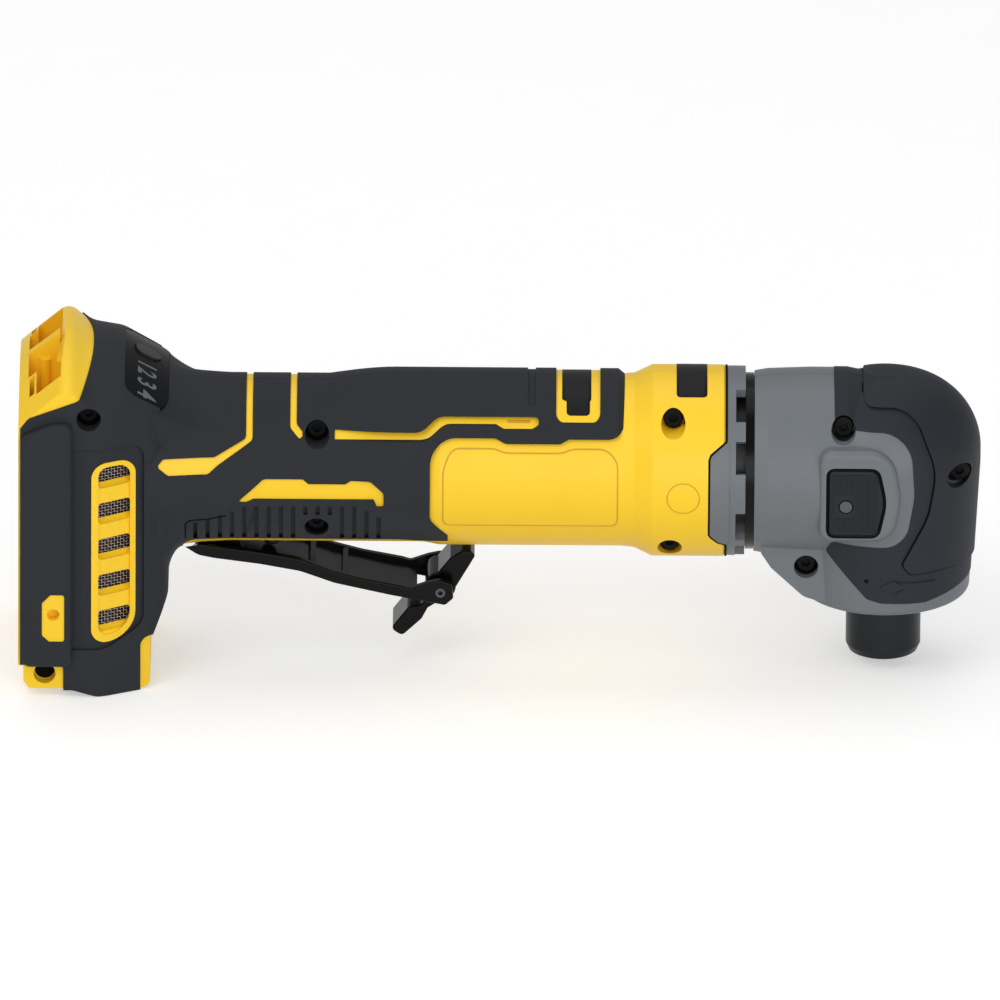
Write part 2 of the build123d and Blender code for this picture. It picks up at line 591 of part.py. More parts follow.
# Gear case and the bearings it holds
BEARING_R = 11.0     # outside of the motor's front bearing and width 7
FRONT_BEARING_X = (-47.0, -40.0)
REAR_BEARING_X = (-114.0, -108.0)
REAR_BEARING_R = 9.5
SHAFT_R = 4.0
TAIL_R = 3.0
LOW_BEARING_Z = (34.0, 42.0)
LOW_BEARING_R = 13.0
LOW_SEAT_R = 5.0
TOP_BEARING_Z = (72.0, 78.0)
TOP_BEARING_R = 9.5
TOP_SEAT_R = 3.0
GEAR_ROOM_R = 12.2
PINION_ROOM_R = 9.6
FLANGE_R = 15.0
FLANGE_Z = (NOSE_Z + HEAD_WALL + EDGE, NOSE_Z + HEAD_WALL + EDGE + 2.3)

CASE_X = -36.0
case = head(HEAD_WALL + EDGE) & block(CASE_X, 60, -60, 60, 0, 120)
case -= round_x([(-40, PINION_ROOM_R), (0, PINION_ROOM_R)])
case -= round_z([(GEAR_ROOM_R, LOW_BEARING_Z[1]), (GEAR_ROOM_R, 70.0)])
case -= round_z([(TOP_SEAT_R + 2.5, 60), (TOP_SEAT_R + 2.5, 80)])
case -= round_z([(TOP_BEARING_R, TOP_BEARING_Z[0] - 3), (TOP_BEARING_R, TOP_BEARING_Z[1])])
case -= round_z([(LOW_BEARING_R, 20), (LOW_BEARING_R, LOW_BEARING_Z[1])])
case -= round_z([(FLANGE_R + EDGE, 20), (FLANGE_R + EDGE, FLANGE_Z[1])])
case -= rod_y(LOCK_PIN[0], LOCK_PIN[1], LOCK_PIN_R + GAP, -40, 0)
SPRING_R = 3.3
SPRING_SEAT_Y = -15.0
case -= rod_y(LOCK_PIN[0], LOCK_PIN[1], SPRING_R + 1.0, -40, SPRING_SEAT_Y)
case -= button_room
for x, z in HEAD_SCREWS:
    case -= rod_y(x, z, SCREW_R + BOSS_WALL + EDGE, -40, 40)
case = max(case.solids(), key=lambda s: s.volume)
save("gear_case", case)

plate = ring_x(FRONT_BEARING_X[0] - 1, CASE_X, 23.4, BEARING_R)
plate += ring_x(-39.9, -38.9, BEARING_R + 0.5, 8.6)
for i in range(6):
    a = math.radians(60 * i + 30)
    hole = Pos(-50, 17.2 * math.cos(a), AXIS_Z + 17.2 * math.sin(a)) * Rot(0, 90, 0)
    plate -= hole * extrude(Circle(3.2), amount=20)
save("bearing_plate", plate)


def bearing(outer, inner, width):
    """A sealed ball bearing: two rings and a recessed seal between them."""
    step = (outer - inner) / 4
    body = Cylinder(outer, width) - Cylinder(inner, width + 2)
    groove = Cylinder(outer - step, 0.5) - Cylinder(inner + step, 2)
    body -= Pos(0, 0, width / 2 - 0.25) * groove
    body -= Pos(0, 0, -width / 2 + 0.25) * groove
    return body


def bearing_x(span, outer, inner):
    """A bearing on the motor axis."""
    return Pos((span[0] + span[1]) / 2, 0, AXIS_Z) * Rot(0, 90, 0) * bearing(outer, inner, span[1] - span[0])


def bearing_z(span, outer, inner):
    """A bearing on the spindle axis."""
    return Pos(0, 0, (span[0] + span[1]) / 2) * bearing(outer, inner, span[1] - span[0])


save("front_motor_bearing", bearing_x(FRONT_BEARING_X, BEARING_R, SHAFT_R + RUN))
save("rear_motor_bearing", bearing_x(REAR_BEARING_X, REAR_BEARING_R, TAIL_R + RUN))
save("lower_spindle_bearing", bearing_z(LOW_BEARING_Z, LOW_BEARING_R, LOW_SEAT_R + RUN))
save("upper_spindle_bearing", bearing_z(TOP_BEARING_Z, TOP_BEARING_R, TOP_SEAT_R + RUN))
retainer = ring_z(30.6, LOW_BEARING_Z[0], LOW_BEARING_R, 9.0)
for i in range(4):
    retainer -= Rot(0, 0, 90 * i + 45) * block(8, 14, -1.4, 1.4, 30, 32)
save("bearing_retainer", retainer)

guard = round_z([(GUARD_R - 2.8, 0), (GUARD_R - 0.9, 0.9), (GUARD_R, 3.0), (GUARD_R, FLANGE_Z[0]),
                 (FLANGE_R, FLANGE_Z[0]), (FLANGE_R, FLANGE_Z[1])])
guard -= round_z([(GUARD_BORE_R, -1), (GUARD_BORE_R, 40)])
save("collet_guard", guard)

# Bevel pair
ratio_angle = math.atan2(PINION_TEETH, GEAR_TEETH)
CONE = MODULE * PINION_TEETH / 2 / math.sin(ratio_angle)


def bevel(teeth, angle, bore, back, phase):
    """A straight bevel gear below its apex, which is at the origin, on the Z axis.

    teeth and angle set the pitch cone, back is the depth of the hub behind the teeth and
    phase turns the first tooth from +X, in degrees.
    """
    sin_a = math.sin(angle)
    cos_a = math.cos(angle)

    def at(length, normal):
        """Radius and depth of a point on a cone element, moved out along its normal."""
        return length * sin_a + normal * cos_a, length * cos_a - normal * sin_a

    inner = CONE - FACE
    root_out = at(CONE, -DEDENDUM * MODULE)
    root_in = at(inner, -DEDENDUM * MODULE * inner / CONE)
    outline = [(bore, -root_in[1]), (root_in[0], -root_in[1]), (root_out[0], -root_out[1]),
               (root_out[0], -root_out[1] - back), (bore, -root_out[1] - back)]
    body = revolve(SIDE * face_of(outline), axis=Axis.Z)
    sections = []
    for length in (inner, CONE):
        scale = length / CONE
        half = TOOTH * math.pi * MODULE * scale / 2
        tip = ADDENDUM * MODULE * scale
        foot_depth = (DEDENDUM * MODULE + 0.25) * scale
        r, depth = at(length, 0)
        plane = Plane(origin=(r, 0, -depth), x_dir=(0, 1, 0), z_dir=(sin_a, 0, -cos_a))
        flank = [(-1.55 * half, -foot_depth), (-half, 0), (-0.5 * half, tip),
                 (0.5 * half, tip), (half, 0), (1.55 * half, -foot_depth)]
        if plane.y_dir.X < 0:
            flank = [(u, -v) for u, v in flank]
        sections.append(plane * face_of(flank))
    tooth = loft(sections, ruled=True)
    for i in range(teeth):
        body += Rot(0, 0, phase + 360.0 * i / teeth) * tooth
    return body


gear = bevel(GEAR_TEETH, math.pi / 2 - ratio_angle, SHAFT_R, 4.0, 180.0 / GEAR_TEETH + 180.0)
gear = Pos(0, 0, AXIS_Z) * gear
save("bevel_gear", gear)
HUB_R = 7.4
HUB_END_X = -23.0
pinion = bevel(PINION_TEETH, ratio_angle, TAIL_R, 1.0, 0.0)
pinion = Pos(0, 0, AXIS_Z) * Rot(0, 90, 0) * pinion
pinion += ring_x(HUB_END_X, -9.9, HUB_R, TAIL_R)
for i in range(4):
    turn = 90 * i
    hole = rod_y(LOCK_PIN[0], LOCK_PIN[1], LOCK_PIN_R + GAP, -20, PIN_TIP_Y + PRESS + 0.6)
    pinion -= hole.rotate(MOTOR_AXIS, turn)
pinion -= round_x([(-40, TAIL_R), (0, TAIL_R)])
pinion = max(pinion.solids(), key=lambda s: s.volume)
save("pinion", pinion)

# Spindle, collet and nut
COLLET_R = 3.0       # bore for a 6 mm shank
NOSE_THREAD_R = 6.0
spindle = round_z([
    (NOSE_THREAD_R, 7.0), (NOSE_THREAD_R, 20), (8.0, 20), (8.0, LOW_BEARING_Z[0] - 0.4),
    (6.2, LOW_BEARING_Z[0] - 0.4), (6.2, LOW_BEARING_Z[0]), (LOW_SEAT_R, LOW_BEARING_Z[0]),
    (LOW_SEAT_R, 47.0), (SHAFT_R, 47.0), (SHAFT_R, 70.0), (TOP_SEAT_R, 71.0),
    (TOP_SEAT_R, TOP_BEARING_Z[1] - 0.6),
])
spindle -= round_z([(4.6, 0), (4.6, 21.0)])
for sign in (1, -1):
    spindle -= block(sign * 6.6, sign * 12, -12, 12, 21.5, 28.0)
save("spindle", spindle)
collet = round_z([(3.7, 0), (4.3, 1.5), (4.3, 6.4), (4.55, 7.2), (4.55, 20.0)])
collet -= round_z([(COLLET_R, -1), (COLLET_R, 30)])
for i in range(2):
    collet -= Rot(0, 0, 90 * i + 45) * block(-10, 10, -0.4, 0.4, -1, 14)
save("collet", collet)
NUT_AF = 15.0
nut = extrude(RegularPolygon(NUT_AF / 2, 6, major_radius=False), amount=15.5)
nut = Pos(0, 0, 1.0) * nut
nut &= round_z([(7.0, 1.0), (8.8, 2.2), (8.8, 15.6), (7.8, 16.5)])
nut -= round_z([(4.3 + GAP, 0), (4.3 + GAP, 6.6), (NOSE_THREAD_R + RUN, 6.6), (NOSE_THREAD_R + RUN, 30)])
save("collet_nut", nut)

# Motor
shaft = round_x([(-116, TAIL_R), (-107.6, TAIL_R), (-107.6, SHAFT_R), (-38.2, SHAFT_R), (-38.2, TAIL_R),
                 (-7.6, TAIL_R)])
save("motor_shaft", shaft)
CORE_X = (-101.5, -74.9)
ROTOR_R = 11.0
AIR_GAP = 0.6
rotor = ring_x(CORE_X[0], CORE_X[1], ROTOR_R, SHAFT_R)
magnets = []
for i in range(4):
    magnet = block(CORE_X[0] + 1, CORE_X[1] - 1, -5.2, 5.2, AXIS_Z + 7.0, AXIS_Z + 9.2)
    magnets.append(magnet.rotate(MOTOR_AXIS, 90 * i))
for magnet in magnets:
    rotor -= magnet
    rotor -= Pos(-2, 0, 0) * magnet
save("rotor_core", rotor)
save("rotor_magnets", group(*magnets))

FAN_X = (-61.0, -51.6)
FAN_R = 23.4
FAN_BLADES = 11
fan = ring_x(FAN_X[0], FAN_X[1], 7.0, SHAFT_R)
fan += ring_x(FAN_X[0], FAN_X[0] + 1.4, FAN_R, 6.5)
for i in range(FAN_BLADES):
    blade = block(FAN_X[0] + 1, FAN_X[1] + 0.4, -0.6, 0.6, 6.8, FAN_R - 0.4)
    blade = Pos(0, 0, AXIS_Z) * blade.rotate(Axis((0, 0, 15), (1, 0, 0)), 28)
    fan += blade.rotate(MOTOR_AXIS, 360.0 * i / FAN_BLADES)
fan &= round_x([(FAN_X[0] - 1, FAN_R), (FAN_X[1] + 1, FAN_R)])
fan -= round_x([(FAN_X[0] - 1, SHAFT_R), (FAN_X[1] + 1, SHAFT_R)])
save("cooling_fan", fan)

SLOTS = 6
STACK_X = (-103.0, -73.4)
OVERHANG = 2.0       # of the coils past the stack


def across(x):
    """A plane square to the motor axis."""
    return Plane(origin=(x, 0, AXIS_Z), x_dir=(0, 1, 0), z_dir=(1, 0, 0))


def sector(r0, r1, half, middle):
    """A flat ring segment about the motor axis, as a sketch."""
    points = []
    for step in range(7):
        a = math.radians(middle - half + step * half / 3)
        points.append((r1 * math.cos(a), r1 * math.sin(a)))
    for step in range(7):
        a = math.radians(middle + half - step * half / 3)
        points.append((r0 * math.cos(a), r0 * math.sin(a)))
    return face_of(points)


stack = Circle(STATOR_R - 0.1) - Circle(ROTOR_R + AIR_GAP)
coils = []
for i in range(SLOTS):
    middle = 360.0 * i / SLOTS + 30
    stack -= sector(13.4, 19.2, 20, middle)
    stack -= Rot(0, 0, middle) * Pos(12.5, 0) * Rectangle(4, 2.4)
    wound = across(STACK_X[0] - OVERHANG) * sector(13.9, 18.8, 17, middle)
    coil = extrude(wound, amount=STACK_X[1] - STACK_X[0] + 2 * OVERHANG)
    coils.append(coil)
save("stator_core", extrude(across(STACK_X[0]) * stack, amount=STACK_X[1] - STACK_X[0]))
save("stator_windings", group(*coils))
board = ring_x(-106.8, -105.2, 20.0, 10.2)
save("sensor_board", board)

# Electronics in the foot and grip
BLOCK_HALF = 19.8
terminal = block(-260.0, -250.2, -BLOCK_HALF, BLOCK_HALF, 30.2, 63.8)
terminal += block(-251.3, -249.8, -22, 22, 28, 66)
blades = []
for i in range(5):
    y = -14.0 + 7.0 * i
    blade = block(-264.0, -256.0, y - 0.4, y + 0.4, 38.0, 50.0)
    blades.append(blade)
    terminal -= block(-264.0, -256.0, y - 0.4, y + 0.4, 38.0, 50.0)
save("terminal_block", terminal)
save("terminal_blades", group(*blades))
tray = block(-249.7, -229.0, -23, 23, 17, 80)
tray -= block(-232.0, -228.0, -20, 20, 20, 77)
controller = tray
for i in range(6):
    z = 24.0 + i * 8.0
    controller += block(-232.5, -229.4, -16, 16, z, z + 3.0)
save("controller", controller)
leads = []
for y in (-4.0, 0.0, 4.0):
    lead = Pos(-232.0, y, LEAD_Z) * Rot(0, 90, 0) * extrude(Circle(LEAD_R), amount=232.0 - 106.8)
    leads.append(lead)
save("motor_leads", group(*leads))
switch_leads = []
for y in (-4.0, 4.0):
    lead = Pos(-232.0, y, 53.6) * Rot(0, 90, 0) * extrude(Circle(LEAD_R), amount=232.0 + SWITCH_X[0])
    switch_leads.append(lead)
save("switch_leads", group(*switch_leads))

PLUNGER_X = -190.0
PLUNGER_R = 2.4
switch = block(SWITCH_X[0], SWITCH_X[1], -SWITCH_HALF, SWITCH_HALF, 47.6, 62)
switch = soften(switch, switch.edges().filter_by(Axis.Y), 1.0)
switch += block(-194.5, -185.5, -5, 5, 61, 66)
switch -= Pos(PLUNGER_X, 0, 46) * extrude(Circle(PLUNGER_R + GAP), amount=8)
save("trigger_switch", switch)
PLUNGER_Z = 34.2
plunger = Pos(PLUNGER_X, 0, PLUNGER_Z) * extrude(Circle(PLUNGER_R), amount=50.9 - PLUNGER_Z)
plunger = soften(plunger, plunger.faces().sort_by(Axis.Z)[0].edges(), 1.0)
save("switch_plunger", plunger)

# Intake screens behind the louvres
screen = (foot(SCREEN_DEPTH) - foot(SCREEN_DEPTH + 0.8)) & block(-244.7, -232.5, -60, -20, 18.3, 75.7)
save("right_intake_screen", screen)
save("left_intake_screen", mirrored(screen))

# Speed button in the panel
button_prism = button_spot * Pos(0, 0, -8) * extrude(button_face_up, amount=16)
speed_button = button_prism & (foot(-0.9) - foot(2.0))
save("speed_button", speed_button)

# Paddle lever: a channel open upwards, lugs at its rear end and two ears at its front
lever_outline = [
    (-217.6, 38.2), (-212.6, 34.9), (-207.7, 33.9), (-193.5, 32.0), (-181.0, 29.7), (-170.3, 25.8),
    (-153.0, 21.9),
    (-141.0, 19.6), (-136.0, 18.6), (-133.4, 21.0), (-134.0, 25.8), (-137.5, 27.0), (-141.5, 26.1),
    (-146.8, 24.2), (-149.4, 25.0), (-161.8, 27.4), (-170.7, 29.8), (-181.0, 33.8), (-193.5, 36.0),
    (-204.0, 37.4), (-216.4, 39.2),
]
lever_radii = [0.4, 6, 8, 20, 14, 14, 20, 10, 1.2, 1.2, 1.2, 3, 4, 2, 4, 10, 10, 10, 10, 4, 0.4]
hollow_outline = [
    (-213.0, 60), (-213.0, 37.6), (-207.7, 36.1), (-193.5, 34.2), (-181.0, 31.9), (-170.3, 28.0),
    (-153.0, 24.1), (-141.0, 21.8), (-120.0, 18.0), (-120.0, 60),
]
lever = side_prism(lever_outline, -LEVER_HALF, LEVER_HALF, lever_radii)
for side in (0, -1):
    lever = soften(lever, lever.faces().sort_by(Axis.Y)[side].edges(), 0.5)
inner_half = LEVER_HALF - LEVER_WALL
lever -= side_prism(hollow_outline, -inner_half, inner_half, 0.0)
# Room for the lock-off tab, and for the handle behind the hinge
TAB_ROOM = LOCK_HALF + 0.9
lever -= block(-144.7, -120, -TAB_ROOM, TAB_ROOM, 10, 30)
lever -= side_prism([(-153.5, 15), (-153.5, 23.1), (-143.0, 21.1), (-143.0, 15)], -TAB_ROOM, TAB_ROOM)
lever -= round_x([
    (-236, 30.2 + SOFT_PROUD + 0.5), (-222, 27.8 + SOFT_PROUD + 0.5), (-212, 26.4 + SOFT_PROUD + 0.5),
    (FLARE_X, SOFT_R + 0.5), (-198, SOFT_R + 0.5),
])
lever = max(lever.solids(), key=lambda s: s.volume)
lug_outline = [(-213.0, 36.3), (-198.5, 34.2), (-201.5, 44.0), (-204.5, 46.3), (-209.5, 46.3), (-212.0, 43.5)]
for y0, y1 in ((-8.4, -4.4), (4.4, 8.4)):
    lever += side_prism(lug_outline, y0, y1, (0, 0, 2, 3, 3, 2))
lever -= rod_y(LEVER_PIVOT[0], LEVER_PIVOT[1], PIN_R + RUN, -30, 30)
# Stiffening ribs across the channel, (x, floor there)
for x, z in ((-177.0, 30.5), (-167.0, 27.2)):
    lever += block(x - 0.8, x + 0.8, -inner_half - 0.5, inner_half + 0.5, z - 1.0, z + 1.4)
lever -= rod_y(LOCK_PIVOT[0], LOCK_PIVOT[1], PIN_R, -30, 30)
save("paddle_lever", lever)
save("lever_pivot_pin", rod_y(LEVER_PIVOT[0], LEVER_PIVOT[1], PIN_R, -12.5, 12.5))
lock_pin_piece = rod_y(LOCK_PIVOT[0], LOCK_PIVOT[1], PIN_R, -LEVER_HALF - 0.3, LEVER_HALF + 0.3)
lock_pin_piece -= rod_y(LOCK_PIVOT[0], LOCK_PIVOT[1], PIN_R / 2, -LEVER_HALF - 1, -LEVER_HALF + 2)
save("lock_off_pin", lock_pin_piece)

# Lock-off tab: the blocking arm above the pin, the thumb tab below it
tab_points = [
    (-134.4, 32.6), (-130.6, 35.0), (-128.2, 34.9), (-126.7, 33.2), (-134.0, 20.4), (-141.4, 15.6),
    (-143.2, 12.0), (-149.3, 6.2), (-152.9, 8.6), (-147.4, 15.9), (-143.0, 16.8), (-140.6, 24.6),
]
tab_radii = (0.8, 0.8, 0.8, 1.0, 2, 0.9, 2, 1.5, 1.5, 2, 2, 2)
tab = side_prism(tab_points, -LOCK_HALF, LOCK_HALF, tab_radii)
tab += rod_y(LOCK_PIVOT[0], LOCK_PIVOT[1], 4.8, -LOCK_HALF, LOCK_HALF)
tab = soften(tab, tab.faces().sort_by(Axis.Y)[0].edges(), 0.6)
tab = soften(tab, tab.faces().sort_by(Axis.Y)[-1].edges(), 0.6)
tab -= rod_y(LOCK_PIVOT[0], LOCK_PIVOT[1], PIN_R + RUN, -30, 30)
tab -= rod_y(LOCK_PIVOT[0], LOCK_PIVOT[1], 3.6, -2.6, 2.6)
save("lock_off_tab", tab)


def coil_y(x, z, y0, y1, radius, wire, turns):
    """A coil spring across the tool, one unbroken tube."""
    path = Helix(pitch=(y1 - y0) / turns, height=y1 - y0, radius=radius)
    section = Plane(origin=path @ 0, z_dir=path % 0) * Circle(wire)
    spring = sweep(section, path=path)
    return Pos(x, y0, z) * Rot(-90, 0, 0) * spring


save("lever_spring", coil_y(LEVER_PIVOT[0], LEVER_PIVOT[1], -3.6, 3.6, 2.35, 0.5, 5))
save("lock_off_spring", coil_y(LOCK_PIVOT[0], LOCK_PIVOT[1], -2.1, 2.1, 2.35, 0.4, 4))
save("lock_button_spring", coil_y(LOCK_PIN[0], LOCK_PIN[1], BUTTON_BACK_Y + 0.6, SPRING_SEAT_Y - 0.5, 2.75, 0.4, 6))


def screw(x, z, seat_y, length):
    """A pan-head screw with a six-point recess, driven in from the near side."""
    body = rod_y(x, z, HEAD_SCREW_R, seat_y - 2.4, seat_y)
    body = soften(body, body.faces().sort_by(Axis.Y)[0].edges(), 0.6)
    recess = Pos(x, seat_y - 1.0, z) * extrude(SIDE * RegularPolygon(1.5, 6), amount=5)
    body -= recess
    body += rod_y(x, z, SCREW_R - 0.05, seat_y - 0.5, seat_y + length)
    return body


def surface_at(body, x, z):
    """Where the near surface of a body lies at a place in the side view."""
    return (body & rod_y(x, z, 0.5, -60, 0)).bounding_box().min.Y


housing_screws = [
    screw(x, z, surface_at(core, x, z) + HEAD_SEAT, 8 - surface_at(core, x, z) - HEAD_SEAT)
    for x, z in HOUSING_SCREWS
]
head_screws = [
    screw(x, z, surface_at(head_body, x, z) + 6, 8 - surface_at(head_body, x, z) - 6)
    for x, z in HEAD_SCREWS
]
save("housing_screws", group(*housing_screws))
save("head_screws", group(*head_screws))
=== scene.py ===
"""Cordless right-angle die grinder: finishes, fine surface pieces, light and camera."""
import logging
import math
from dataclasses import dataclass
from enum import Enum
from typing import Any, Callable, Sequence

import bpy
import numpy as np
from mathutils import Matrix, Vector


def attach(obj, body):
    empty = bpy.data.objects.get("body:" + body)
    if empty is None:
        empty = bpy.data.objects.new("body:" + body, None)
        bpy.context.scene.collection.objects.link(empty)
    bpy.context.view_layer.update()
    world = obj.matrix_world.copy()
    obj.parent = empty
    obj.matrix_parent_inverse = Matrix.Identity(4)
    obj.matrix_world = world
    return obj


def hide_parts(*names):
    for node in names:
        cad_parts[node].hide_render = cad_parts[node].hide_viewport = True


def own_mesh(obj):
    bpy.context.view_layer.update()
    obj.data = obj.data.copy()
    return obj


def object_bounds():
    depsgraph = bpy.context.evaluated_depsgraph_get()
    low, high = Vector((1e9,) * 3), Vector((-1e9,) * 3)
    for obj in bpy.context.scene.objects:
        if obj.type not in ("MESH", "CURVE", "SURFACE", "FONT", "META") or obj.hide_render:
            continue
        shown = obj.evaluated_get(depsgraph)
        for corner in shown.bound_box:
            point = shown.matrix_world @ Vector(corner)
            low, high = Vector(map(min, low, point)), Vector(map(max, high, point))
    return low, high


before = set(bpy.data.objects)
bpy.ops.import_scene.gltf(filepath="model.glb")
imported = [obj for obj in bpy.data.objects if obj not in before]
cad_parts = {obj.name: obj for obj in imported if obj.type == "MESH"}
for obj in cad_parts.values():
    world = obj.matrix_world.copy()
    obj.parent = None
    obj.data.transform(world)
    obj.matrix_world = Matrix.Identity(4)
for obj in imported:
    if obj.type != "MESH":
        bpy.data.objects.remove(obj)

LOG = logging.getLogger("die_grinder")
CAD_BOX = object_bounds()
MM = 0.001
AXIS_Z = 62.9  # height of the motor line, in millimetres
LOCK_PIN = (-12.3, 60.1)  # x and z of the spindle-lock pin, in millimetres
FULL_TURN = 2 * math.pi
TANGENT_SHARE = 0.48  # the most of an edge that a rounded corner takes up
BEAD_SINK = 0.15  # share of a raised line's height that lies under the surface
RIM_INWARD = (0.0, 0.15, 0.5, 1.0)  # places across a plate's rim, from outside, as shares of its width
RIM_RISE = (-0.5, 0.6, 0.92, 1.0)  # height at each of them, as a share of the plate's
MIDDLE_LOOP = 0.002  # size of the loop in a plate's middle, as a share of its outline

Tree = bpy.types.NodeTree
Socket = bpy.types.NodeSocket
Array = np.ndarray
Pair = tuple[float, float]
Triple = tuple[float, float, float]
Mesh = tuple[Array, Array]  # points in millimetres, and the point numbers of each face
Surface = Callable[[Array, Array], Array]
Placement = Callable[[Array, Array], Array]


class Body(Enum):
    """The bodies that the scene's own pieces ride on."""

    HOUSING = "housing"
    LOCK_BUTTON = "lock_button"


# Colour and node helpers


def linear(hex_colour: str) -> tuple[float, float, float, float]:
    """Turn an sRGB hex colour into linear RGBA.

    Args:
        hex_colour: Six hex digits, with or without a leading hash.

    Returns:
        Linear red, green, blue and an alpha of one.
    """
    digits = hex_colour.lstrip("#")
    parts = np.array([int(digits[i:i + 2], 16) for i in (0, 2, 4)]) / 255.0
    curved = np.where(parts <= 0.04045, parts / 12.92, ((parts + 0.055) / 1.055) ** 2.4)
    return float(curved[0]), float(curved[1]), float(curved[2]), 1.0


def add(tree: Tree, kind: str, settings: dict[str, Any] | None = None,
        **links: Any) -> bpy.types.Node:
    """Add one node with its settings and links.

    Args:
        tree: The node tree that gets the node.
        kind: The node's type name.
        settings: Attribute names, or input names, with their values.
        links: Input name (spaces as underscores) to an output socket.

    Returns:
        The new node.
    """
    node = tree.nodes.new(kind)
    for key, value in (settings or {}).items():
        if hasattr(node, key):
            setattr(node, key, value)
        else:
            node.inputs[key].default_value = value
    for key, socket in links.items():
        name = key.replace("_", " ")
        target = node.inputs[int(key[1:])] if key[0] == "i" and key[1:].isdigit() else node.inputs[name]
        tree.links.new(socket, target)
    return node


def noise(tree: Tree, where: Socket, size_mm: float, detail: float) -> Socket:
    """A noise whose cells are about size_mm across."""
    settings = {"Scale": 1.0 / (size_mm * MM), "Detail": detail}
    return add(tree, "ShaderNodeTexNoise", settings, Vector=where).outputs["Fac"]


# Finishes


@dataclass(frozen=True)
class Finish:
    """A surface: what it is made of and how it was made.

    The grain is two noises on object coordinates: a fine one for bump and roughness and a broad one that drifts the
    colour a little.
    """

    name: str
    colour: str
    shade: str
    roughness: float
    rough_spread: float = 0.08
    metallic: float = 0.0
    ior: float = 1.5
    grain_mm: float = 0.5
    depth_mm: float = 0.004
    drift_mm: float = 22.0

    def material(self) -> bpy.types.Material:
        """Build the material, or find the one already built.

        Returns:
            The material of this finish's name.
        """
        found = bpy.data.materials.get(self.name)
        if found is not None:
            return found
        made = bpy.data.materials.new(self.name)
        made.use_nodes = True
        tree = made.node_tree
        shader = tree.nodes["Principled BSDF"]
        shader.inputs["Metallic"].default_value = self.metallic
        if self.metallic < 0.5:
            shader.inputs["IOR"].default_value = self.ior
        where = add(tree, "ShaderNodeTexCoord").outputs["Object"]
        grain = self.grain(tree, where)
        drift = noise(tree, where, self.drift_mm, 3.0)
        tint = add(tree, "ShaderNodeMix", {"data_type": "RGBA"}, Factor=drift)
        tint.inputs[6].default_value = linear(self.colour)
        tint.inputs[7].default_value = linear(self.shade)
        tree.links.new(tint.outputs[2], shader.inputs["Base Color"])
        rough = add(tree, "ShaderNodeMapRange", {
            "To Min": self.roughness - self.rough_spread / 2, "To Max": self.roughness + self.rough_spread / 2,
        }, Value=grain)
        tree.links.new(rough.outputs["Result"], shader.inputs["Roughness"])
        bump = add(tree, "ShaderNodeBump", {"Strength": 1.0, "Distance": self.depth_mm * MM}, Height=grain)
        tree.links.new(bump.outputs["Normal"], shader.inputs["Normal"])
        return made

    def grain(self, tree: Tree, where: Socket) -> Socket:
        """Fine moulded grain: a noise whose cells are about grain_mm across."""
        return noise(tree, where, self.grain_mm, 2.0)


@dataclass(frozen=True)
class Brushed(Finish):
    """A turned or ground metal, with fine marks along one axis."""

    along: Triple = (1.0, 1.0, 0.05)

    def grain(self, tree: Tree, where: Socket) -> Socket:
        """Grinding marks: a noise stretched along the surface.

        Args:
            tree: The material's node tree.
            where: Object coordinates.

        Returns:
            The noise's strength.
        """
        size = 1.0 / (self.grain_mm * MM)
        scaled = add(tree, "ShaderNodeMapping", {"Scale": tuple(size * a for a in self.along)}, Vector=where)
        marks = add(tree, "ShaderNodeTexNoise", {"Scale": 1.0, "Detail": 4.0}, Vector=scaled.outputs["Vector"])
        return marks.outputs["Fac"]


# Injection-moulded ABS with a spark-eroded texture: an even satin that lifts at the edges
YELLOW_ABS = Finish("moulded_yellow_abs", "#FFD42A", "#FFCE22", 0.42, 0.10, ior=1.42, depth_mm=0.018)
# Painted shade: the same plastic made darker, on raised lines that stand for sunk grooves and the shade in them
YELLOW_GROOVE_SHADE = Finish("painted_groove_shade_yellow", "#D9A41C", "#D29D18", 0.50, depth_mm=0.01)
# Overmoulded thermoplastic rubber: dull charcoal, a soft sandy grain
CHARCOAL_TPE = Finish("overmoulded_charcoal_rubber", "#22262B", "#1D2126", 0.74, 0.12, ior=1.40, grain_mm=0.55,
                      depth_mm=0.06)
HEAD_TPE = Finish("overmoulded_head_rubber", "#1E222A", "#1B1F26", 0.64, 0.10, ior=1.40, depth_mm=0.03)
# Glass-filled nylon: mid grey, faint cloudiness from the fibre
GREY_NYLON = Finish("glass_filled_grey_nylon", "#6F7478", "#696E72", 0.46, 0.10, ior=1.42, grain_mm=0.6,
                    depth_mm=0.016)
BUTTON_NYLON = Finish("glass_filled_dark_nylon", "#191D22", "#161A1F", 0.48, ior=1.34, depth_mm=0.015)
# Polished-tool ABS: black, with a clear wet highlight
GLOSS_BLACK = Finish("polished_black_abs", "#050506", "#070708", 0.22, 0.06, ior=1.24, grain_mm=1.6, depth_mm=0.006)
SATIN_BLACK = Finish("moulded_black_nylon", "#16181A", "#1B1D1F", 0.48, depth_mm=0.012)
# Painted shade: near-black for the shade in the gaps where two mouldings meet, in sunk lines and down in holes
GAP_SHADE = Finish("painted_gap_shade", "#08090B", "#0A0B0D", 0.85, 0.05, ior=1.2, grain_mm=0.6)
# Black-oxide steel: turned, then blackened, a dull sheen
BLACK_OXIDE = Brushed("black_oxide_steel", "#2C2F33", "#26292C", 0.40, 0.12, metallic=0.85, along=(0.15, 0.15, 1.0))
GROUND_STEEL = Brushed("ground_steel", "#B9BABC", "#A9AAAD", 0.28, 0.14, metallic=1.0, grain_mm=0.4, depth_mm=0.003)
# Drawn stainless wire: bright crowns with dark gaps between them
SCREEN_WIRE = Finish("drawn_screen_wire", "#B4ABAC", "#9A9192", 0.36, 0.10, metallic=0.8, grain_mm=0.4)
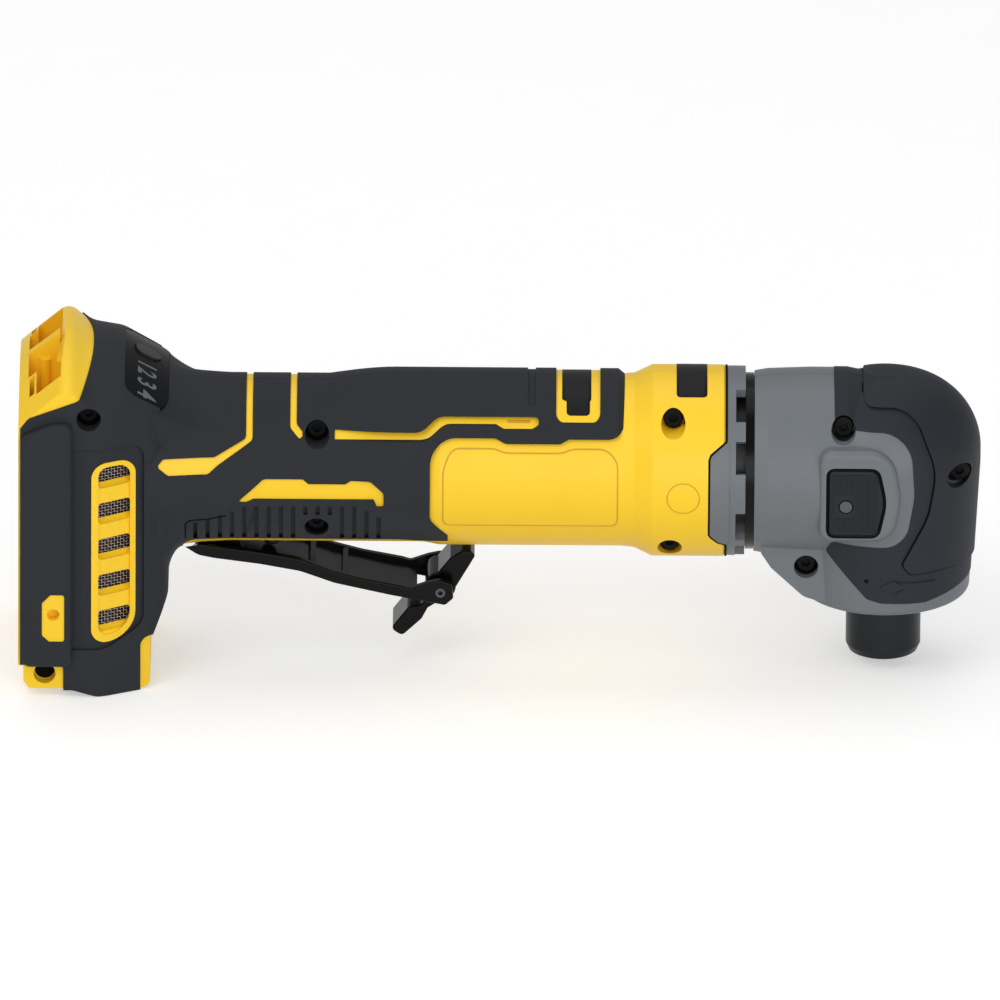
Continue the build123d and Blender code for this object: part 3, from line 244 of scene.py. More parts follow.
# Die-cast aluminium coloured dark grey: painted shade, so that nothing bright shows through the collar's slots
CAST_ALUMINIUM_SHADE = Finish("cast_aluminium_painted_shade", "#3A3C3F", "#323437", 0.50, 0.16, metallic=0.6, grain_mm=0.9,
                        depth_mm=0.03)
LAMINATION = Brushed("stacked_lamination_steel", "#6E7073", "#5F6164", 0.45, 0.14, metallic=0.9, depth_mm=0.02,
                     along=(1.0, 0.02, 0.02))
ENAMEL_COPPER = Brushed("enamelled_copper_wire", "#A85A2C", "#8F4920", 0.34, 0.12, metallic=0.9, grain_mm=0.7,
                        depth_mm=0.05, along=(0.03, 1.0, 1.0))
TINNED_BRASS = Finish("plated_brass", "#CDB06A", "#BFA05A", 0.28, 0.10, metallic=1.0, grain_mm=0.8)
SOLDER_MASK = Finish("green_solder_mask", "#1F5A34", "#1A4E2D", 0.38, grain_mm=1.2, depth_mm=0.01)
# Phosphated steel: a dull near-black that stays dark down in a well
PHOSPHATE_STEEL = Finish("phosphated_steel", "#08090A", "#0B0C0D", 0.62, 0.10, metallic=0.2, ior=1.3, grain_mm=0.4,
                         depth_mm=0.006)
PIN_STEEL = Brushed("drawn_dark_steel_pin", "#595B5F", "#4F5155", 0.35, 0.10, metallic=0.8, grain_mm=0.4)
# Screen-printed film: flat ink under a thin clear face
BLACK_FILM = Finish("printed_black_film", "#0C0D0E", "#0A0B0C", 0.50, 0.05, ior=1.3, grain_mm=1.0)
PANEL_FILM = Finish("smoked_panel_film", "#090B0F", "#080A0D", 0.42, 0.05, ior=1.18, grain_mm=1.0)
GREY_INK = Finish("printed_grey_ink", "#5C6167", "#565B61", 0.45, 0.05, grain_mm=0.8, depth_mm=0.003)
FLOOR_PAPER = Finish("pale_backdrop_paper", "#E0E0E0", "#DDDDDD", 0.9, 0.02, grain_mm=3.0, depth_mm=0.002)

NODE_FINISH: dict[str, Finish] = {node: finish for finish, nodes in (
    (YELLOW_ABS, "right_housing left_housing"),
    (CHARCOAL_TPE, "right_soft_grip left_soft_grip motor_leads switch_leads"),
    (PANEL_FILM, "control_panel"),
    (SATIN_BLACK, "speed_button cooling_fan terminal_block controller trigger_switch switch_plunger"),
    (GREY_NYLON, "exhaust_collar right_head_shell left_head_shell"),
    (GLOSS_BLACK, "baffle_ring paddle_lever lock_off_tab"),
    (HEAD_TPE, "right_head_cover left_head_cover"),
    (BUTTON_NYLON, "spindle_lock_button"),
    (PIN_STEEL, "spindle_lock_pin lock_off_pin"),
    # the gear case and bearing plate are coloured dark grey as painted shade inside the collar
    (CAST_ALUMINIUM_SHADE, "gear_case bearing_plate"),
    (GROUND_STEEL, "front_motor_bearing rear_motor_bearing lower_spindle_bearing upper_spindle_bearing "
     "bearing_retainer bevel_gear pinion spindle collet motor_shaft rotor_magnets "
     "lever_pivot_pin lever_spring lock_off_spring lock_button_spring"),
    (BLACK_OXIDE, "collet_guard collet_nut"),
    (LAMINATION, "rotor_core stator_core"),
    (ENAMEL_COPPER, "stator_windings"),
    (SOLDER_MASK, "sensor_board"),
    (TINNED_BRASS, "terminal_blades"),
    (SCREEN_WIRE, "right_intake_screen left_intake_screen"),
    (PHOSPHATE_STEEL, "housing_screws head_screws"),
) for node in nodes.split()}


# Mesh helpers: every surface is a grid of points


def grid_faces(rows: int, columns: int, close_columns: bool = False, close_rows: bool = False) -> Array:
    """Quads of a grid of points, row by row.

    Args:
        rows: Points along the first parameter.
        columns: Points along the second.
        close_columns: Join the last column to the first.
        close_rows: Join the last row to the first.

    Returns:
        An array of four point numbers for each quad.
    """
    r = np.arange(rows if close_rows else rows - 1)
    c = np.arange(columns if close_columns else columns - 1)
    row, column = np.meshgrid(r, c, indexing="ij")
    below, beside = (row + 1) % rows, (column + 1) % columns
    quads = np.stack([row * columns + column, below * columns + column,
                      below * columns + beside, row * columns + beside], axis=-1)
    return quads.reshape(-1, 4)


def piece(name: str, shape: Mesh, finish: Finish, body: Body = Body.HOUSING,
          smooth: bool = True) -> bpy.types.Object:
    """Make a mesh object that rides on a body.

    Args:
        name: The piece's name.
        shape: Its points and faces.
        finish: The surface it gets.
        body: The body that carries it.
        smooth: Shade the faces smooth.

    Returns:
        The new object, at the origin.
    """
    points, faces = shape
    mesh = bpy.data.meshes.new(name)
    mesh.from_pydata((points * MM).tolist(), [], faces.tolist())
    mesh.polygons.foreach_set("use_smooth", np.full(len(mesh.polygons), smooth))
    mesh.update()
    made = bpy.data.objects.new(name, mesh)
    bpy.context.scene.collection.objects.link(made)
    mesh.materials.append(finish.material())
    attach(made, body.value)
    LOG.info("%s: %d faces on %s", name, len(faces), body.value)
    return made


def corner_curves(start: Array, middle: Array, end: Array, steps: int) -> Array:
    """Quadratic curves from start to end, one for each corner, with middle as the control point."""
    a, b, c, t = start[:, None], middle[:, None], end[:, None], np.linspace(0.0, 1.0, steps)[None, :, None]
    return ((1 - t) ** 2 * a + 2 * t * (1 - t) * b + t ** 2 * c).reshape(-1, 2)


def rounded(corners: Sequence[Pair], radius: float, steps: int = 6) -> Array:
    """A closed outline with rounded corners.

    Each corner becomes a quadratic curve from one tangent point to the other, with the corner
    as its middle control point.

    Args:
        corners: Corner points in order.
        radius: Distance from a corner to its tangent points, at most.
        steps: Points on each corner.

    Returns:
        An array of points, shape (n, 2).
    """
    p = np.array(corners, float)
    before, after = np.roll(p, 1, axis=0) - p, np.roll(p, -1, axis=0) - p
    length_b = np.linalg.norm(before, axis=1, keepdims=True)
    length_a = np.linalg.norm(after, axis=1, keepdims=True)
    start = p + before / length_b * np.minimum(radius, TANGENT_SHARE * length_b)
    end = p + after / length_a * np.minimum(radius, TANGENT_SHARE * length_a)
    return corner_curves(start, p, end, steps)


def bent(corners: Sequence[Pair], radii: Sequence[float], steps: int = 12) -> Array:
    """An open path with its inner corners rounded.

    A corner of radius r that turns by an angle is cut back on both sides by r times the tangent of
    half that angle, and a quadratic curve joins the two cuts.

    Args:
        corners: Points in order, with the two ends.
        radii: One radius for each inner corner.
        steps: Points on each corner.

    Returns:
        An array of points, shape (n, 2).
    """
    p = np.array(corners, float)
    way = np.diff(p, axis=0)
    way /= np.linalg.norm(way, axis=1, keepdims=True)
    turn = np.arccos(np.clip((way[:-1] * way[1:]).sum(axis=1), -1.0, 1.0))
    cut = (np.array(radii) * np.tan(turn / 2))[:, None]
    start, middle, end = p[1:-1] - way[:-1] * cut, p[1:-1], p[1:-1] + way[1:] * cut
    return np.vstack([p[:1], corner_curves(start, middle, end, steps), p[-1:]])


def circle(centre: Pair, radius: float, count: int) -> Array:
    """Points round a circle in flat coordinates, shape (count, 2)."""
    a = np.linspace(0.0, FULL_TURN, count, endpoint=False)
    return np.stack([centre[0] + radius * np.cos(a), centre[1] + radius * np.sin(a)], axis=1)


def resample(path: Array, count: int, closed: bool = False) -> Array:
    """Points at equal steps along a path.

    Args:
        path: Points, shape (n, 2).
        count: How many points to return.
        closed: The path's end joins its start.

    Returns:
        An array of shape (count, 2).
    """
    line = np.vstack([path, path[:1]]) if closed else path
    run = np.concatenate([[0.0], np.cumsum(np.linalg.norm(np.diff(line, axis=0), axis=1))])
    at = np.linspace(0.0, run[-1], count, endpoint=not closed)
    return np.stack([np.interp(at, run, line[:, 0]), np.interp(at, run, line[:, 1])], axis=1)


def side_view(surface: Surface) -> Placement:
    """Carry (x, z) points of the side view on to a surface and off it along -Y.

    Args:
        surface: Gives y from x and z.

    Returns:
        A function of flat points, shape (..., 2), and their heights.
    """
    def at(flat: Array, height: Array) -> Array:
        """Points moved off the surface by their heights."""
        x, z = flat[..., 0], flat[..., 1]
        return np.stack([x, surface(x, z) - height, z], axis=-1)
    return at


def wrapped(radius: float) -> Placement:
    """Wrap (x, s) points round the motor line: s is the way round from the top to the near side.

    Args:
        radius: Radius of the barrel, so that the angle from the top is s / radius.

    Returns:
        A function of flat points, shape (..., 2), and their heights.
    """
    def at(flat: Array, height: Array) -> Array:
        """Points moved off the barrel by their heights."""
        angle, r = flat[..., 1] / radius, radius + height
        return np.stack([flat[..., 0], -r * np.sin(angle), AXIS_Z + r * np.cos(angle)], axis=-1)
    return at


def plaque(outline: Array, place: Placement, height: float, edge: float, rings: int = 8) -> Mesh:
    """A thin plate on a surface: the outline shrunk towards its middle in rings, with a rounded rim.

    A ring's share runs from 1 at the rim to a loop in the middle too small to see. The height rises
    steeply over the rim, as a quarter circle does, and is level inside it.

    Args:
        outline: Closed flat outline, shape (n, 2).
        place: Carries it on to its surface.
        height: How far it stands proud.
        edge: Width of the rounded rim.
        rings: Rings between rim and middle.

    Returns:
        Points and faces.
    """
    middle = outline.mean(axis=0)
    rim = edge / np.linalg.norm(outline - middle, axis=1).mean()
    share = np.concatenate([1.0 - rim * np.array(RIM_INWARD),
                            np.linspace(1.0 - rim, MIDDLE_LOOP, rings + 1)[1:]])
    rise = height * np.array([*RIM_RISE] + [1.0] * rings)
    flat = middle + share[:, None, None] * (outline - middle)[None]
    points = place(flat, np.broadcast_to(rise[:, None], flat.shape[:2]))
    return points.reshape(-1, 3), grid_faces(len(share), len(outline), True)


def film(left: Array, right: Array, row: Array, height: float, place: Placement,
         columns: int = 9) -> Mesh:
    """A thin film: rows across it from its left edge to its right, laid on a surface.

    The outermost rows and columns drop into the surface, so that the film shows its cut edge.

    Args:
        left: First coordinate of each row's start.
        right: First coordinate of each row's end.
        row: Second coordinate of each row.
        height: Thickness of the film.
        place: Carries it on to its surface.
        columns: Points along a row.

    Returns:
        Points and faces.
    """
    pick = np.concatenate([[0], np.arange(len(row)), [len(row) - 1]])
    share = np.concatenate([[0.0], np.linspace(0.0, 1.0, columns), [1.0]])
    across = left[pick, None] + (right - left)[pick, None] * share[None]
    flat = np.stack([across, np.broadcast_to(row[pick, None], across.shape)], axis=-1)
    rise = np.full(across.shape, height)
    rise[[0, -1]] = -height
    rise[:, [0, -1]] = -height
    return place(flat, rise).reshape(-1, 3), grid_faces(len(pick), columns + 2)


def bead(path: Array, closed: bool, width: float, height: float, place: Placement,
         sides: int = 7) -> Mesh:
    """A raised line: half an ellipse carried along a path on a surface.

    The section is width across and height proud; its foot is sunk a little below the surface.

    Args:
        path: Flat points along the line.
        closed: The path is a loop.
        width: Full width of the line.
        height: How far it stands proud.
        place: Carries it on to its surface.
        sides: Points across the section.

    Returns:
        Points and faces.
    """
    ahead = np.roll(path, -1, axis=0) if closed else np.vstack([path[1:], path[-1:]])
    behind = np.roll(path, 1, axis=0) if closed else np.vstack([path[:1], path[:-1]])
    way = ahead - behind
    way /= np.linalg.norm(way, axis=1, keepdims=True)
    across = np.stack([-way[:, 1], way[:, 0]], axis=1)
    a = np.linspace(0.0, math.pi, sides)
    flat = path[:, None] + across[:, None] * (np.cos(a) * width / 2)[None, :, None]
    rise = np.broadcast_to((np.sin(a) * (1.0 + BEAD_SINK) - BEAD_SINK) * height, flat.shape[:2])
    points = place(flat, rise).reshape(-1, 3)
    return points, grid_faces(len(path), sides, close_rows=closed)


def join(parts: Sequence[Mesh]) -> Mesh:
    """Join several meshes into one.

    Args:
        parts: Meshes whose faces have the same number of corners.

    Returns:
        Points and faces.
    """
    points, faces, count = [], [], 0
    for p, f in parts:
        points.append(p)
        faces.append(f + count)
        count += len(p)
    return np.vstack(points), np.vstack(faces)


def far_side(near: Mesh) -> Mesh:
    """The same mesh on the far side: y changes its sign, and the faces turn round to point outwards."""
    points, faces = near
    return points * np.array([1.0, -1.0, 1.0]), faces[:, ::-1]


def both_sides(near: Mesh) -> Mesh:
    """A mesh and the same on the far side, as one."""
    return join([near, far_side(near)])


def half_chord(radius: Array, off: Array) -> Array:
    """Half the chord of a circle: the root of radius squared less off squared, and not under 1 mm."""
    return np.sqrt(np.maximum(radius ** 2 - off ** 2, 1.0))


def round_barrel(radius: float) -> Surface:
    """The near side of a cylinder along the motor line."""
    return lambda x, z: -half_chord(radius, z - AXIS_Z)


def flat_side(y: float) -> Surface:
    """A plane square to Y."""
    return lambda x, z: np.full(np.shape(x), y)


# Sub-assemblies


@dataclass
class Housing:
    """The clamshell's small surface pieces: painted shade in the screw wells and corner holes, rating panel, films,
    ring mark and painted shade along the collar's parting line.
    """

    label_radius: float = 26.7
    motor_radius: float = 29.7
    badge_radius: float = 27.7
    rim_width: float = 0.5
    rim_height: float = 0.1
    film_height: float = 0.1
    badge_x: Pair = (-100.2, -91.2)
    badge_waist_x: Pair = (-98.8, -91.6)
    badge_step: float = 12.6
    badge_end: float = 18.7
    plain_x: Pair = (-64.8, -55.3)
    plain_end: float = 14.0
    corner: float = 1.3
    well_radius: float = 3.76
    well_inner: float = 3.1
    well_length: float = 3.4
    corner_hole: Pair = (-259.8, 4.6)
    corner_floor_y: float = -31.5
    corner_disc: float = 3.2
    well_gap: float = 0.06
    wells: Sequence[Triple] = (
        (-246.3, -27.5, 89.6), (-175.9, -12.62, 78.9), (-175.9, -13.8, 48.6),
    )
    slot_x: Pair = (-117.0, -110.0)
    slot_z: float = 82.7
    slot_width: float = 0.8
    ring_centre: Pair = (-62.6, 62.0)
    ring_radius: float = 5.0
    ring_width: float = 0.4
    panel_corner: float = 2.6
    badge_shoulder: float = 0.7
    collar_width: float = 0.65
    collar_height: float = 0.03

    def build(self) -> None:
        """Build each piece."""
        self.well_linings()
        self.corner_floors()
        self.rating_panel()
        self.brow_slot()
        self.ring_mark()
        self.badge()
        self.plain_film()
        self.collar_gap()

    def line(self, name: str, path: Array, closed: bool, width: float, radius: float) -> None:
        """One thin raised line in painted groove shade, darker than the yellow plastic, on a round part of the
        clamshell.
        """
        line = bead(path, closed, width, self.rim_height, side_view(round_barrel(radius)))
        piece(name, line, YELLOW_GROOVE_SHADE)

    def well_linings(self) -> None:
        """Painted shade: a near-black cup at the bottom of each screw well in the soft grip, a tube and the ring
        that floors it.
        """
        ring = circle((0.0, 0.0), 1.0, 40)
        radius = np.array([self.well_radius, self.well_radius, self.well_inner])[:, None]
        y = np.array([-self.well_length, -self.well_gap, -self.well_gap])[:, None]
        cup = np.stack([radius * ring[:, 0], np.broadcast_to(y, (len(y), len(ring))), radius * ring[:, 1]], axis=-1)
        faces = grid_faces(len(y), len(ring), True)[:, ::-1]
        cups = join([(cup.reshape(-1, 3) + np.array(seat), faces) for seat in self.wells])
        piece("screw_well_shade", cups, GAP_SHADE)

    def corner_floors(self) -> None:
        """Painted shadow at the bottom of the foot's two corner holes: a thin near-black disc in each."""
        disc = circle(self.corner_hole, self.corner_disc, 40)
        near = plaque(disc, side_view(flat_side(self.corner_floor_y)), self.rim_height, self.rim_height, 3)
        piece("corner_hole_shade", both_sides(near), GAP_SHADE)

    def rating_panel(self) -> None:
        """A thin line of painted groove shade round the bare rating panel."""
        corners = [(-136.9, 50.3), (-136.9, 70.0), (-134.2, 75.8), (-120.5, 75.8), (-118.2, 74.6),
                   (-99.8, 74.6), (-97.4, 75.8), (-86.4, 75.8), (-82.9, 72.4), (-82.9, 50.3)]
        loop = resample(rounded(corners, self.panel_corner), 220, True)
        self.line("rating_panel_rim", loop, True, self.rim_width, self.label_radius)

    def brow_slot(self) -> None:
        """A short sunk slot in the front end of the brow inlay, drawn as a raised line of painted groove shade."""
        path = resample(np.array([(x, self.slot_z) for x in self.slot_x]), 20)
        self.line("brow_slot", path, False, self.slot_width, self.label_radius)

    def ring_mark(self) -> None:
        """A plain round moulding mark on the motor section, drawn as a raised line of painted groove shade."""
        ring = circle(self.ring_centre, self.ring_radius, 72)
        self.line("moulding_ring", ring, True, self.ring_width, self.motor_radius)

    def drawn_in(self, row: Array) -> Array:
        """How far a film's edges draw in near its ends: a quarter circle of the corner's radius."""
        inside = np.clip(self.corner - (np.abs(row).max() - np.abs(row)), 0.0, self.corner)
        return self.corner - np.sqrt(self.corner ** 2 - inside ** 2)

    def badge(self) -> None:
        """A plain black film over the top, narrower at its ends, in the yellow saddle."""
        row = np.sin(np.linspace(-math.pi / 2, math.pi / 2, 81)) * self.badge_end
        waist = np.clip((np.abs(row) - self.badge_step) / self.badge_shoulder, 0.0, 1.0)
        drawn = self.drawn_in(row)
        left = self.badge_x[0] + (self.badge_waist_x[0] - self.badge_x[0]) * waist + drawn
        right = self.badge_x[1] + (self.badge_waist_x[1] - self.badge_x[1]) * waist - drawn
        sheet = film(left, right, row, self.film_height, wrapped(self.badge_radius))
        piece("badge_film", sheet, BLACK_FILM)

    def plain_film(self) -> None:
        """A bare black film over the top of the motor section."""
        row = np.sin(np.linspace(-math.pi / 2, math.pi / 2, 61)) * self.plain_end
        drawn = self.drawn_in(row)
        sheet = film(self.plain_x[0] + drawn, self.plain_x[1] - drawn, row, self.film_height,
                     wrapped(self.motor_radius))
        piece("plain_film", sheet, BLACK_FILM)

    def collar_gap(self) -> None:
        """Painted shade of the gap between the clamshell and the exhaust collar: a near-black line each side."""
        tab = [(-49.3, 0.0), (-49.3, 29.3), (-50.5, 30.6), (-54.1, 33.8), (-54.6, 35.2), (-54.6, 61.8),
               (-53.8, 63.4), (-51.6, 66.2), (-50.0, 67.0), (-49.3, 68.0), (-49.3, 93.2)]
        path = resample(np.array(tab), 260)
        sides = [bead(path * np.array([1.0, turn]), False, self.collar_width, self.collar_height,
                      wrapped(self.motor_radius)) for turn in (1.0, -1.0)]
        piece("collar_gap_shade", join(sides), GAP_SHADE)


@dataclass
class SoftBlend:
    """The soft skin in the inside corner between the foot's front wall and the grip.

    Angles run round the motor line from the top. At each angle a curve leaves the wall and runs out on
    the grip; its radius is the grip's plus a rise that dies away along it.
    """

    wall_x: float = -221.7
    corner_y: float = 18.23
    corner_radius: float = 11.5
    side_turn: float = math.atan2(20.8, 10.5)
    crown_z: float = 15.0
    crown_radius: float = 77.3
    grip_x: Sequence[float] = (-236.0, -222.0, -212.0, -203.0)
    grip_radius: Sequence[float] = (30.7, 28.3, 26.9, 26.3)
    most_rise: float = 8.0
    top_end: float = 62.0
    low_start: float = 104.0
    low_curl: float = 0.85
    low_half: float = 26.6
    low_fade: float = 16.0
    low_inside: Sequence[float] = (0.0, 16.0, 34.0, 44.0)
    low_reach: Sequence[float] = (4.0, 8.0, 6.5, 4.4)
    top_fade: float = 14.0
    top_curl: float = 0.3
    top_reach: Pair = (7.0, 14.0)
    reach_by_rise: float = 2.6
    proud: float = 0.03
    end_sink: float = 0.08
    wall_sink: float = 0.1
    rounds: int = 3
    steps: int = 25
    border_width: float = 0.55
    border_height: float = 0.14

    def wall(self, y: Array) -> Array:
        """The foot's front wall in plan: a flat, an arc and a slanted side.

        Args:
            y: Distance from the middle plane.

        Returns:
            X of the wall there.
        """
        arc_end = self.corner_y + self.corner_radius * math.sin(self.side_turn)
        off = np.clip(y - self.corner_y, 0.0, arc_end - self.corner_y)
        arc = self.wall_x - self.corner_radius + np.sqrt(self.corner_radius ** 2 - off ** 2)
        return arc - np.maximum(y - arc_end, 0.0) * math.tan(self.side_turn)

    def grip(self, x: Array) -> Array:
        """Radius of the grip's flare at x."""
        return np.interp(x, self.grip_x, self.grip_radius)

    @staticmethod
    def fall(t: Array, curl: float) -> Array:
        """How the rise dies away: one minus t squared, mixed with a quarter ellipse by the share curl."""
        back = 1.0 - np.clip(t, 0.0, 1.0)
        return (1.0 - curl) * back ** 2 + curl * (1.0 - np.sqrt(1.0 - back ** 2))

    def sheet(self, angle: Array, rise: Array, reach: Array, curl: float) -> Mesh:
        """A sheet of curves, one for each angle, with t from 0 at the wall to 1 on the grip.

        Both ends are sunk a little, so that the sheet comes out of the surfaces it joins. Where a curve
        starts on the wall depends on its radius there and the other way round, so both are found in rounds.

        Args:
            angle: Angles from the top, in radians.
            rise: Height over the grip at the wall, for each angle.
            reach: Length along the grip, for each angle.
            curl: Share of the quarter ellipse.

        Returns:
            Points and faces.
        """
        t = np.linspace(0.0, 1.0, self.steps)[None]
        lift = rise[:, None] * self.fall(t, curl)
        sink = self.proud - self.end_sink * (2.0 * t - 1.0) ** 8
        side = np.sin(angle)[:, None]
        radius = self.grip(self.wall_x + t * reach[:, None]) + lift
        for _ in range(self.rounds):
            x = self.wall(np.abs(radius * side)) + t * reach[:, None] - self.wall_sink * (1.0 - t) ** 4
            radius = self.grip(x) + lift + sink
        points = np.stack([x, -radius * side, AXIS_Z + radius * np.cos(angle)[:, None]], axis=-1)
        return points.reshape(-1, 3), grid_faces(len(angle), self.steps)

    def over(self) -> Mesh:
        """The upper sheet: as high as the crowned wall stands over the grip, fading out at its ends.

        Returns:
            Points and faces.
        """
        angle = np.radians(np.linspace(-self.top_end, self.top_end, 91))
        drop = AXIS_Z - self.crown_z
        crown = -drop * np.cos(angle) + np.sqrt(self.crown_radius ** 2 - (drop * np.sin(angle)) ** 2)
        rise = np.clip(crown - self.grip_radius[1], 0.0, self.most_rise)
        rise = rise * np.clip((self.top_end - np.degrees(np.abs(angle))) / self.top_fade, 0.0, 1.0)
        return self.sheet(angle, rise, np.clip(self.reach_by_rise * rise, *self.top_reach), self.top_curl)

    def low_shape(self, degrees: Array) -> tuple[Array, Array]:
        """The lower sheet's form, short where the lever lies.

        The rise also ends where the sheet would pass low_half, so that it stays clear of the vent.

        Args:
            degrees: Angles from the top.

        Returns:
            Rise and reach at each of them.
        """
        inside = 180.0 - np.abs(degrees - 180.0) - self.low_start
        most_radius = self.low_half / np.maximum(np.abs(np.sin(np.radians(degrees))), 0.1)
        room = most_radius - self.grip(self.wall(self.low_half))
        rise = np.clip(np.minimum(room, self.most_rise * inside / self.low_fade), 0.0, self.most_rise)
        return rise, np.interp(inside, self.low_inside, self.low_reach)

    def under(self) -> Mesh:
        """The lower sheet: a fillet in the corner under the grip."""
        degrees = np.linspace(self.low_start, 360.0 - self.low_start, 111)
        return self.sheet(np.radians(degrees), *self.low_shape(degrees), self.low_curl)

    def near_side(self, x: Array, z: Array) -> Array:
        """The near side under the motor line: the grip's radius and the lower sheet's rise.

        Args:
            x: Place along the handle.
            z: Height.

        Returns:
            Y there.
        """
        y = half_chord(self.grip(x), z - AXIS_Z)
        rise, reach = self.low_shape(np.degrees(np.arctan2(y, z - AXIS_Z)))
        radius = self.grip(x) + rise * self.fall((x - self.wall(y)) / reach, self.low_curl)
        return -half_chord(radius, z - AXIS_Z)

    def rib_border(self) -> None:
        """Painted shade of the sunk line round the rear end of the rib panel, running out ahead of it: a near-black
        raised line.
        """
        bend = np.array([(-216.4, 43.6), (-216.5, 50.4), (-215.3, 51.6), (-209.5, 52.0), (-203.8, 53.3)])
        line = bead(resample(bend, 80), False, self.border_width, self.border_height, side_view(self.near_side))
        piece("rib_border", line, GAP_SHADE)

    def build(self) -> None:
        """Lay both sheets and the line that ends on them."""
        piece("foot_blend", join([self.over(), self.under()]), CHARCOAL_TPE)
        self.rib_border()


@dataclass
class IntakeScreen:
    """A woven wire screen behind the louvres, one each side."""

    x_span: Pair = (-244.6, -232.6)
    z_span: Pair = (18.4, 75.6)
    depth: float = 3.7
    pitch: float = 0.96
    wire: float = 0.16
    crimp: float = 0.9
    wire_sides: int = 5
    steps_by_pitch: int = 4
    foot_half: float = 35.5
    corner_radius: float = 16.0
    corner_x: float = -243.0
    slope: float = 10.5 / 20.8
    window_x: Pair = (-243.3, -233.5)
    first_sill: float = 18.1
    sill_pitch: float = 11.95
    sill_skew: float = 0.6
    sill_depth: Pair = (0.85, 3.2)
    sill_rise: float = 1.3
    windows: int = 5

    def wall(self, x: Array, depth: Array) -> Array:
        """The foot's side in plan, moved in by a depth: a flat side, an arc and a slanted front.

        Args:
            x: Place along the handle.
            depth: How far inside the outer face.

        Returns:
            Half the foot's width there.
        """
        angle = math.atan(self.slope)
        start = self.corner_x - self.corner_radius * math.tan(angle / 2)
        centre = self.foot_half - self.corner_radius
        r = self.corner_radius - depth
        arc = centre + np.sqrt(np.maximum(r ** 2 - (x - start) ** 2, 0.0))
        end_x = start + r * math.sin(angle)
        line = centre + r * math.cos(angle) - (x - end_x) * self.slope
        return np.where(x < start, self.foot_half - depth, np.where(x < end_x, arc, line))

    def sills(self) -> Mesh:
        """The yellow slopes under the windows: z rises with the square of the share of the way in.

        Returns:
            Points and faces of all of them.
        """
        share = np.linspace(0.0, 1.0, 9)[None, :, None]
        x = np.linspace(*self.window_x, 25)[None, None]
        first = self.first_sill + self.sill_pitch * np.arange(self.windows)[:, None, None]
        skew = self.sill_skew * (x - self.window_x[0]) / (self.window_x[1] - self.window_x[0])
        z = first + skew + self.sill_rise * share ** 2
        depth = self.sill_depth[0] + (self.sill_depth[1] - self.sill_depth[0]) * share
        x, depth = np.broadcast_to(x, z.shape), np.broadcast_to(depth, z.shape)
        points = np.stack([x, -self.wall(x, depth), z], axis=-1)
        one = grid_faces(share.size, x.shape[2])[:, ::-1]
        return join([(slope.reshape(-1, 3), one) for slope in points])

    def wires(self, upright: bool) -> Mesh:
        """One set of wires: each is a tube along a sine of the weave's pitch.

        Args:
            upright: Wires along Z if true, else along X.

        Returns:
            Points and faces of all of them.
        """
        (x0, x1), (z0, z1) = self.x_span, self.z_span
        span, other = ((z0, z1), (x0, x1)) if upright else ((x0, x1), (z0, z1))
        places = np.arange(other[0] + self.pitch / 2, other[1], self.pitch)
        count = int((span[1] - span[0]) / self.pitch * self.steps_by_pitch) + 1
        run = np.linspace(span[0], span[1], count)
        sign = (-1.0) ** np.arange(len(places))[:, None] * (1.0 if upright else -1.0)
        wave = sign * self.wire * self.crimp * np.sin((run - span[0]) * math.pi / self.pitch)[None]
        a = np.linspace(0.0, FULL_TURN, self.wire_sides, endpoint=False)
        lane = np.broadcast_to(places[:, None, None] + self.wire * np.cos(a), (len(places), count, len(a)))
        along = np.broadcast_to(run[None, :, None], lane.shape)
        x, z = (lane, along) if upright else (along, lane)
        y = -self.wall(x, np.full(x.shape, self.depth)) + wave[..., None] + self.wire * np.sin(a)
        one = grid_faces(count, len(a), True)
        return join([(tube.reshape(-1, 3), one) for tube in np.stack([x, y, z], axis=-1)])

    def build(self) -> None:
        """Weave both screens and lay the sills; the far side is the near side with y turned round."""
        weave = join([self.wires(True), self.wires(False)])
        near = piece("right_woven_screen", weave, SCREEN_WIRE)
        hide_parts("right_intake_screen")
        far = piece("left_woven_screen", far_side(weave), SCREEN_WIRE)
        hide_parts("left_intake_screen")
        piece("vent_sills", both_sides(self.sills()), YELLOW_ABS)


